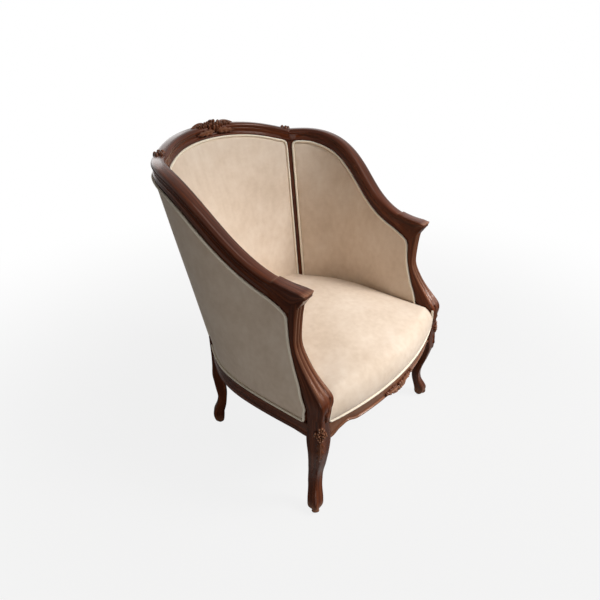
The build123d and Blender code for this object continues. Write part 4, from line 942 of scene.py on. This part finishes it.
def buildPanels(look):
    # inside pads, rebates and outside covers with their welts, for the sides and then the back; the right pad is
    # swelled and the left one takes its mirror image
    foot, rail = look["foot"] * mm, look["rail"] * mm
    insideSharp = sideBorders(-1, foot, look["sideDepth"], look)
    outsideSharp = sideBorders(1, rail, look["outDepth"], look)
    face, normal, insideSoft, welts = panel(insideSharp, look["sideInside"], (-1, 0, 0), look)
    for side, turn in bothSides:
        nodes = [side + layer for layer in ("side_cover", "side_foam", "side_lining")]
        piece = padPiece(side + "inside_pad", face, normal, look["padThick"], nodes, turn)
        if turn is asIs:
            swollen = swell(piece, heldPad(face.shape), swellLook["sideMm"], swellLook)
        else:
            piece.data.vertices.foreach_set("co", (swollen * turn).astype(np.float32).ravel())
            piece.data.update()
        weltPiece(side + "inside_welt", openRun(welts, 4), side + "side_welt", turn)
    made = {"side": swollen[:, :face.shape[1]]}
    face, normal, outsideSoft, welts = panel(outsideSharp, look["sideOutside"], (1, 0, 0), look)
    rebate("wall_rebate", insideSharp, insideSoft, outsideSharp, outsideSoft, bothSides)
    for side, turn in bothSides:
        padPiece(side + "outside_panel", face, normal, look["coverThick"],
                 [side + "outside_cover"], turn)
        weltPiece(side + "outside_piping", closedRun(welts), side + "outside_welt", turn)
    insideSharp = backBorders(-1, foot, look["backDepth"], look)
    outsideSharp = backBorders(1, rail, look["outDepth"], look)
    face, normal, insideSoft, welts = panel(insideSharp, look["backInside"], (0, -1, 0), look)
    piece = padPiece("inside_back_pad", face, normal, look["padThick"],
                     ["inside_back_cover", "inside_back_foam", "back_lining"])
    swollen = swell(piece, heldPad(face.shape), swellLook["backMm"], swellLook)
    made["back"] = swollen[:, :face.shape[1]]
    weltPiece("inside_back_piping", openRun(welts, 4), "inside_back_welt")
    face, normal, outsideSoft, welts = panel(outsideSharp, look["backOutside"], (0, 1, 0), look)
    rebate("back_rebate", insideSharp, insideSoft, outsideSharp, outsideSoft, (("", asIs),))
    padPiece("outside_back_panel", face, normal, look["coverThick"], ["outside_back_cover"])
    weltPiece("outside_back_piping", closedRun(welts), "outside_back_welt")
    return made


pads = buildPanels(coverLook)
print("wall covers and welts built")

# Tight seat: a rolled front that follows the bow, a crown in the middle and edges pressed into the walls
seatLook = {
    "crown": 28, "side": 388, "front": 388, "rear": 394, "foot": 311, "level": 392, "rollDepth": 46,
    "rollBase": 342, "rollShare": 0.16, "press": 12, "pressRun": 14, "bulge": 1.6, "bulgeRun": 40, "footIn": 1.2,
    "frontHalf": 269.5, "faceIn": 0.8, "wallIn": 3, "postRun": 20, "shoulderY": (-275, -255),
    "shoulder": ((305, 279.5), (345, 278.5), (378, 268.2), (430, 268.2)),  # height, half width at the posts
    "thick": 12, "underTop": 345, "underLow": 310, "fill": 0.8, "heldRows": 7,
    "weltEnds": ((306.6, -316.5), (345, -318.5), (376, -319.5)), "weltIn": 0.5}  # height, place up the posts


def wallAt(pad, level):
    # where each upright line of a pad passes a height: the first point above it and the one below, by proportion
    z = pad[..., 2]
    n = np.clip(np.argmax(z > level, axis=0), 1, None)
    m = np.arange(pad.shape[1])
    share = np.clip((level - z[n - 1, m]) / (z[n, m] - z[n - 1, m]), 0, 1)[:, None]
    return pad[n - 1, m, :2] * (1 - share) + pad[n, m, :2] * share


def seatFace(look):
    # rows from the bow to the back, each as wide as the walls allow; height is a quarter round for the front
    # roll, a sine crown from front to back, and edges pressed in by the walls
    side, back = (wallAt(pads[k], look["level"] * mm) for k in ("side", "back"))
    sideY, sideX = side[np.argsort(side[:, 1])][:, ::-1].T
    backX, backY = back[np.argsort(back[:, 0])].T
    frontHalf, faceIn = look["frontHalf"] * mm, look["faceIn"] * mm
    postRear = np.interp(look["side"] * mm, pads["side"][:, -1, 2], pads["side"][:, -1, 1])
    roll = look["rollShare"]
    t = np.append(np.linspace(0, 1, 18)[:-1] * roll, roll + (1 - roll) * np.linspace(0, 1, 90))
    half = np.full(len(t), frontHalf)
    for _ in range(12):  # the width and the place of a row's ends follow each other until they agree
        front, rear = frontLineY(half) + faceIn, np.interp(half, backX, backY)
        y = front + (rear - front) * t
        wall = np.interp(y, sideY, sideX) + look["wallIn"] * mm
        fits = frontHalf + (wall - frontHalf) * ease(0, look["postRun"] * mm, y - postRear)
        half = 0.5 * half + 0.5 * fits
    share, half, u = t[:, None], half[:, None], np.linspace(-1, 1, 120)
    x = half * u
    front, rear = frontLineY(x) + faceIn, np.interp(x, backX, backY)
    length = np.interp(0, backX, backY) - frontLineY(0.0)
    rollRise = np.sqrt(1 - (1 - np.clip(length * share / (look["rollDepth"] * mm), 0, 1)) ** 2)
    crown = (look["front"] + (look["rear"] - look["front"]) * share
             + look["crown"] * np.sin(math.pi * np.clip((share - 0.02) / 0.98, 0, 1)) ** 0.85)
    high = look["rollBase"] + (crown - look["rollBase"]) * rollRise
    z = high - np.clip(high - look["side"], 0, None) * np.abs(u) ** 2.2
    z = z - look["press"] * np.exp(-(1 - np.abs(u)) * half / (look["pressRun"] * mm)) * rollRise
    top = np.stack([x, front + (rear - front) * share, z * mm], -1)
    # the upright front below the roll bulges by half a sine and turns in at its foot
    up = np.array([0, 2, 12, look["rollBase"] - 12 - look["foot"]])[:, None]
    low = np.repeat(top[:1], len(up), axis=0)
    low[..., 2] = (look["foot"] + up) * mm
    low[..., 1] -= look["bulge"] * mm * np.sin(math.pi * up / look["bulgeRun"])
    low[0, :, 1] += look["footIn"] * mm
    face = np.concatenate([low, top])
    edge = np.interp(face[..., 2], *np.array(look["shoulder"]).T * mm) / frontHalf
    near = 1 - ease(*np.array(look["shoulderY"]) * mm, face[..., 1])
    face[..., 0] *= 1 + (edge - 1) * near
    return face


def seatPipingPath(look):
    # along the bow below the seat and up beside both posts, with the corners rounded by a bell curve
    z, y = np.array(look["weltEnds"]).T * mm
    shoulderZ, shoulderX = np.array(look["shoulder"]).T * mm
    x = np.linspace(-shoulderX[0], shoulderX[0], 160)
    path = np.stack([x, frontLineY(x) + look["weltIn"] * mm, np.full(len(x), z[0])], -1)
    up = np.linspace(z[0], z[-1], 30)[1:]
    upright = np.stack([np.interp(up, shoulderZ, shoulderX), np.interp(up, z, y), up], -1)
    path = np.concatenate([upright[::-1] * flip, path, upright])
    even = resample(path, np.linspace(0, 1, int(lengthsAlong(path)[-1] / mm)))
    reach, spread = 18, 6  # in steps of about 1 mm
    longer = np.concatenate([np.repeat(even[:1], reach, 0), even, np.repeat(even[-1:], reach, 0)])
    return bellSmooth(longer, reach, spread)


def buildSeat(look):
    # the face and an underside a thickness below it, kept within the seat frame, then swelled above its foot
    face = seatFace(look)
    under = face.copy()
    under[..., 2] = np.minimum(face[..., 2] - look["thick"] * mm, look["underTop"] * mm)
    under[..., 2] = np.maximum(under[..., 2], look["underLow"] * mm)
    under[..., 1] = np.maximum(under[..., 1], frontLineY(under[..., 0]) + look["thick"] * mm)
    ring = np.concatenate([face, under[:, ::-1]], axis=1)
    piece = meshPiece("crowned_seat", ring, suede, flatEnds=True, sharp=70)
    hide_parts("seat_cover", "seat_foam", "seat_burlap")
    held = heldPad(face.shape)
    held[:look["heldRows"]] = True
    swell(piece, held, swellLook["seatMm"], swellLook)
    weltPiece("seat_front_piping", seatPipingPath(look), "seat_welt")


buildSeat(seatLook)
print("seat built")

# Carving: flowers of rounded petals round a button and leaves with a midrib, 5 to 12 mm proud
carvedLook = {
    "sink": 6, "crestBuds": ((23, 916, 13), (42, 914, 10), (57, 912, 8)),  # out from the middle, height, radius
    "railBuds": ((24, 262, 7), (50, 270, 8), (68, 276, 6)),
    "kneeBuds": ((305, 1, 10), (291, -8, 10), (289, 8, 9), (276, 0, 10)),  # height, aside, radius
    "kneeLeaf": (274, 250, 220, 190),  # heights down the knee
    "leaves": (  # name, middle line, facing, width, height, lobes, pale share (worn stain and painted highlight)
        ("crest_top_leaf", ((26, 343, 917), (54, 341, 916), (84, 335, 911)), (0, -0.1, 1), 16, 8, 3, 0.4),
        ("crest_face_leaf", ((4, 324, 900), (36, 321, 898), (74, 318, 894)), (0, -1, 0.4), 17, 8, 4, 0.8),
        ("rail_leaf", ((10, -360, 268), (36, -360, 273), (66, -358, 275)), (0, -1, 0), 21, 6.5, 4, 1.1),
        ("rail_curl", ((6, -360, 257), (22, -360, 257), (40, -359, 263)), (0, -1, -0.2), 11, 5, 3, 1.1)),
    "shoulderLeaf": (((296, -320, 318), (290, -323, 350), (281, -322, 388)), (-0.3, -1, 0), 19, 5, 3, 0.4),
    # scroll on the toe: middle, reach along the diagonal, then angle, size and thickness from start to end, then
    # its pale share, partly worn stain and partly painted highlight
    "toe": (309, -293, 14.5), "toeOut": 12.5, "coilTurn": (-100, 420), "coilSize": (8.5, 2.0),
    "coilThick": (4.6, 2.2), "coilWiden": 1.3, "toeWearAndHighlight": 0.9,
    "flowers": (  # name, centre, facing, radius, height, petals, roll, pale share (worn stain and painted highlight)
        ("crest_flower", (0, 332, 915), (0, -0.7, 0.7), 19, 11, 6, 0.0, 0.45),
        ("rail_flower", (0, -360, 267), (0, -1, -0.1), 16, 8, 6, 0.0, 1.1)),
    "boss": ((250, 264, 876), (0.25, 0, 1), 18, 12, 5)}


def flower(name, centre, facing, radius, height, petals, roll=0.0, wearAndHighlight=0.45):
    # polar disc: the rim is scalloped, each petal is a lobe with a crease beside it, a button stands in the
    # middle, and the last rows sink into the wood
    facing = unit(np.asarray(facing, float))
    level = unit(np.cross(upward, facing))
    rise = np.cross(facing, level)
    s = np.linspace(0.04, 1, 24)[:, None]
    a = np.linspace(0, 2 * math.pi, petals * 14, endpoint=False)[None]
    lobe = np.abs(np.cos(petals * (a - roll) / 2)) ** 0.6
    r = s * radius * mm * (0.68 + 0.32 * lobe)
    button = 0.9 * np.sqrt(np.clip(1 - (s / 0.3) ** 2, 0, 1))
    petal = (0.25 + 0.75 * lobe) * np.sin(math.pi * np.clip((s - 0.2) / 0.8, 0, 1)) ** 0.6
    lift = height * mm * np.maximum(button, petal)
    grid = np.asarray(centre, float) * mm + (
        level * (r * np.cos(a))[..., None] + rise * (r * np.sin(a))[..., None] + facing * lift[..., None])
    grid = np.concatenate([grid, grid[-1:] - facing * carvedLook["sink"] * mm])
    # raised parts paler with their height: partly worn stain, partly painted highlight on the carving's tops
    wornAndLit = woodLook["wearAndHighlight"] + wearAndHighlight * np.concatenate([lift / lift.max(), 0 * lift[-1:]])
    woodPiece(name, grid, wornAndLit, sharp=50)


def leaf(name, points, facing, width, height, lobes, wearAndHighlight=0.4):
    # strip along a curve: lobed width that tapers to both ends, domed across with a rib down the middle
    path = curveThrough(np.asarray(points, float) * mm, 56)
    along = unit(np.gradient(path, axis=0))
    facing = np.broadcast_to(np.asarray(facing, float), path.shape)
    normal = unit(facing - along * np.sum(facing * along, axis=1, keepdims=True))
    s = np.linspace(0.02, 0.98, 56)[:, None]
    t = np.linspace(-1, 1, 17)[None]
    half = width / 2 * mm * np.sin(math.pi * s ** 0.75) ** 0.7 * (1 + 0.24 * np.cos(2 * math.pi * lobes * s))
    vein = 1 - 0.3 * np.abs(np.cos(math.pi * lobes * (s - 0.12 * np.abs(t)))) ** 3 * np.abs(t)
    lift = height * mm * np.sin(math.pi * s ** 0.7) ** 0.5 * (
        0.7 * np.sqrt(1 - t * t) * vein + 0.35 * np.exp(-(t / 0.16) ** 2))
    across = np.cross(normal, along)[:, None] * (half * t)[..., None]
    front = path[:, None] + across + normal[:, None] * lift[..., None]
    back = path[:, None] + across * 0.9 - normal[:, None] * carvedLook["sink"] * mm
    # raised parts paler with their height: partly worn stain, partly painted highlight on the leaf's tops
    wornAndLit = woodLook["wearAndHighlight"] + wearAndHighlight * np.concatenate([lift / lift.max(), 0 * lift], axis=1)
    woodPiece(name, np.concatenate([front, back[:, ::-1]], axis=1), wornAndLit, flatEnds=True, sharp=50)


def toeScroll(name, turn, out, beside, look):
    # tube along a spiral that winds in and thins out, widened across the diagonal
    angle = np.radians(np.linspace(*look["coilTurn"], 60))[:, None]
    size = np.linspace(*look["coilSize"], 60)[:, None] * mm
    path = (look["toe"] * turn + out * look["toeOut"]) * mm
    path = path + out * size * np.cos(angle) + upward * size * np.sin(angle)
    coil = tube(path, np.linspace(*look["coilThick"], 60) * mm, 12)
    coil = coil + ((coil - path[:, None]) @ beside)[..., None] * beside * look["coilWiden"]
    # the whole scroll in the pale colour: partly worn stain, partly painted highlight
    woodPiece(name, coil, look["toeWearAndHighlight"])


def buildCarving(look):
    # a flower in the middle of the crest and of the front rail, then each side's buds, leaves and scroll;
    # those on the knee lie on its ridge, the line of points farthest out along the diagonal
    for row in look["flowers"]:
        flower(*row)
    bossCentre, bossFacing, *bossShape = look["boss"]
    shoulderLine, shoulderFacing, *shoulderShape = look["shoulderLeaf"]
    rightRidge = knee[np.arange(len(knee)), np.argmax(knee @ frontDiag, axis=1)] / mm
    for side, turn in bothSides:
        out = frontDiag * turn
        beside = np.cross(upward, out)
        ridge = rightRidge * turn
        for n, (along, high, big) in enumerate(look["crestBuds"]):
            place = (along, 334 - along / 12, high) * turn
            flower(f"{side}crest_bud_{n}", place, (0.2, -0.5, 0.85) * turn, big, 9, 5, n)
        for name, points, facing, *rest in look["leaves"]:
            leaf(side + name, points * turn, facing * turn, *rest)
        flower(side + "corner_boss", bossCentre * turn, bossFacing * turn, *bossShape)
        for n, (high, aside, big) in enumerate(look["kneeBuds"]):
            place = readOff(high, ridge[:, 2], ridge) - out * 3.5 + beside * aside
            flower(f"{side}knee_bud_{n}", place, out + upward * 0.1 + beside * aside / 20, big, 8, 5, n, 0.9)
        leaf(side + "knee_leaf", readOff(look["kneeLeaf"], ridge[:, 2], ridge) - out * 2, out, 19, 5, 4)
        for n, (along, high, big) in enumerate(look["railBuds"]):
            place = (along, -359.5 + along**2 / (2 * frameLines["frontRadius"]), high) * turn
            flower(f"{side}rail_bud_{n}", place, (0, -1, 0), big, 6, 5, wearAndHighlight=1.1)
        toeScroll(side + "toe_scroll", turn, out, beside, look)
        leaf(side + "shoulder_leaf", shoulderLine * turn, shoulderFacing * turn, *shoulderShape)


buildCarving(carvedLook)
print("carving built")

# Dust cover: black non-woven cloth under the seat frame, sagging a little between its tacks
dustLook = {"height": 264.4, "sag": 5, "inset": 10, "thick": 0.8, "frontHalf": 262, "rearHalf": 185,
            "sideEnds": (0.93, 0.09), "ramp": ((0.35, "#17161A"), (0.65, "#26252A")), "fibreMm": 3,
            "roughness": 0.95}
# Zinc-plated steel for screws and glides: pale bluish metal with a fine cloudy plating
zincLook = {"ramp": ((0.35, "#A9ADB0"), (0.65, "#C6C9CB")), "cloudMm": 4, "roughness": (0.3, 0.5)}


def makeCambric(name, look):
    # fibres through a ramp
    material, tree, shader = startMaterial(name)
    place = addNode(tree, "ShaderNodeTexCoord").outputs["Object"]
    fibres = addNode(tree, "ShaderNodeTexNoise", {
        "Vector": place, "Scale": 1 / (look["fibreMm"] * mm), "Detail": 4.0})
    colour = addNode(tree, "ShaderNodeValToRGB", {"Fac": fibres.outputs["Fac"]}, look["ramp"])
    feed(tree, shader, {"Base Color": colour.outputs["Color"], "Roughness": look["roughness"]})
    return material


def makeZinc(name, look):
    # clouds through a ramp, and a roughness that follows them
    material, tree, shader = startMaterial(name)
    place = addNode(tree, "ShaderNodeTexCoord").outputs["Object"]
    cloud = addNode(tree, "ShaderNodeTexNoise", {
        "Vector": place, "Scale": 1 / (look["cloudMm"] * mm), "Detail": 3.0}).outputs["Fac"]
    colour = addNode(tree, "ShaderNodeValToRGB", {"Fac": cloud}, look["ramp"])
    low, high = look["roughness"]
    rough = addNode(tree, "ShaderNodeMapRange", {"Value": cloud, "To Min": low, "To Max": high})
    feed(tree, shader, {"Base Color": colour.outputs["Color"], "Roughness": rough.outputs[0], "Metallic": 1.0})
    return material


def buildDustCover(look):
    # patch between lines set in from the rails' faces, sagging by sines
    count = 60
    inset = look["inset"] * mm
    x = np.linspace(-look["frontHalf"], look["frontHalf"], count) * mm
    front = np.stack([x, frontLineY(x, inset), 0 * x], -1)
    x = np.linspace(-look["rearHalf"], look["rearHalf"], count) * mm
    rear = np.stack([x, rearLineY(x, inset), 0 * x], -1)
    path = resample(sideLine, np.linspace(*look["sideEnds"], count))
    right = fitEnds(path + travelFrames(path)[1] * inset, front[-1], rear[-1])
    face = coons(front, rear, right * flip, right)
    wave = np.sin(math.pi * np.linspace(0, 1, count))
    face[..., 2] = (look["height"] - look["sag"] * (wave * wave[:, None]) ** 0.7) * mm
    ring = np.concatenate([face, (face - upward * look["thick"] * mm)[:, ::-1]], axis=1)
    piece = meshPiece("dust_cover_cloth", ring, makeCambric("black_cambric", look), flatEnds=True, sharp=70)
    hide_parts("dust_cover", "seat_webbing_lengthwise", "seat_webbing_crosswise")


def finishNodes(names, material):
    # solids that stay as they are get the finish of the real part
    for name in names:
        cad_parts[name].data.materials.clear()
        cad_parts[name].data.materials.append(material)


buildDustCover(dustLook)
finishNodes((
    "right_tack_rail", "left_tack_rail", "lower_back_rail", "right_front_corner_block", "left_front_corner_block",
    "right_rear_corner_block", "left_rear_corner_block", "seat_rail_dowels", "arm_dowels", "arm_post_dowels",
    "crest_dowels", "stile_dowels", "tack_rail_dowels"), beech)
finishNodes(("corner_block_screws", "foot_glides"), makeZinc("zinc_plated_steel", zincLook))
print("dust cover and hidden parts finished")
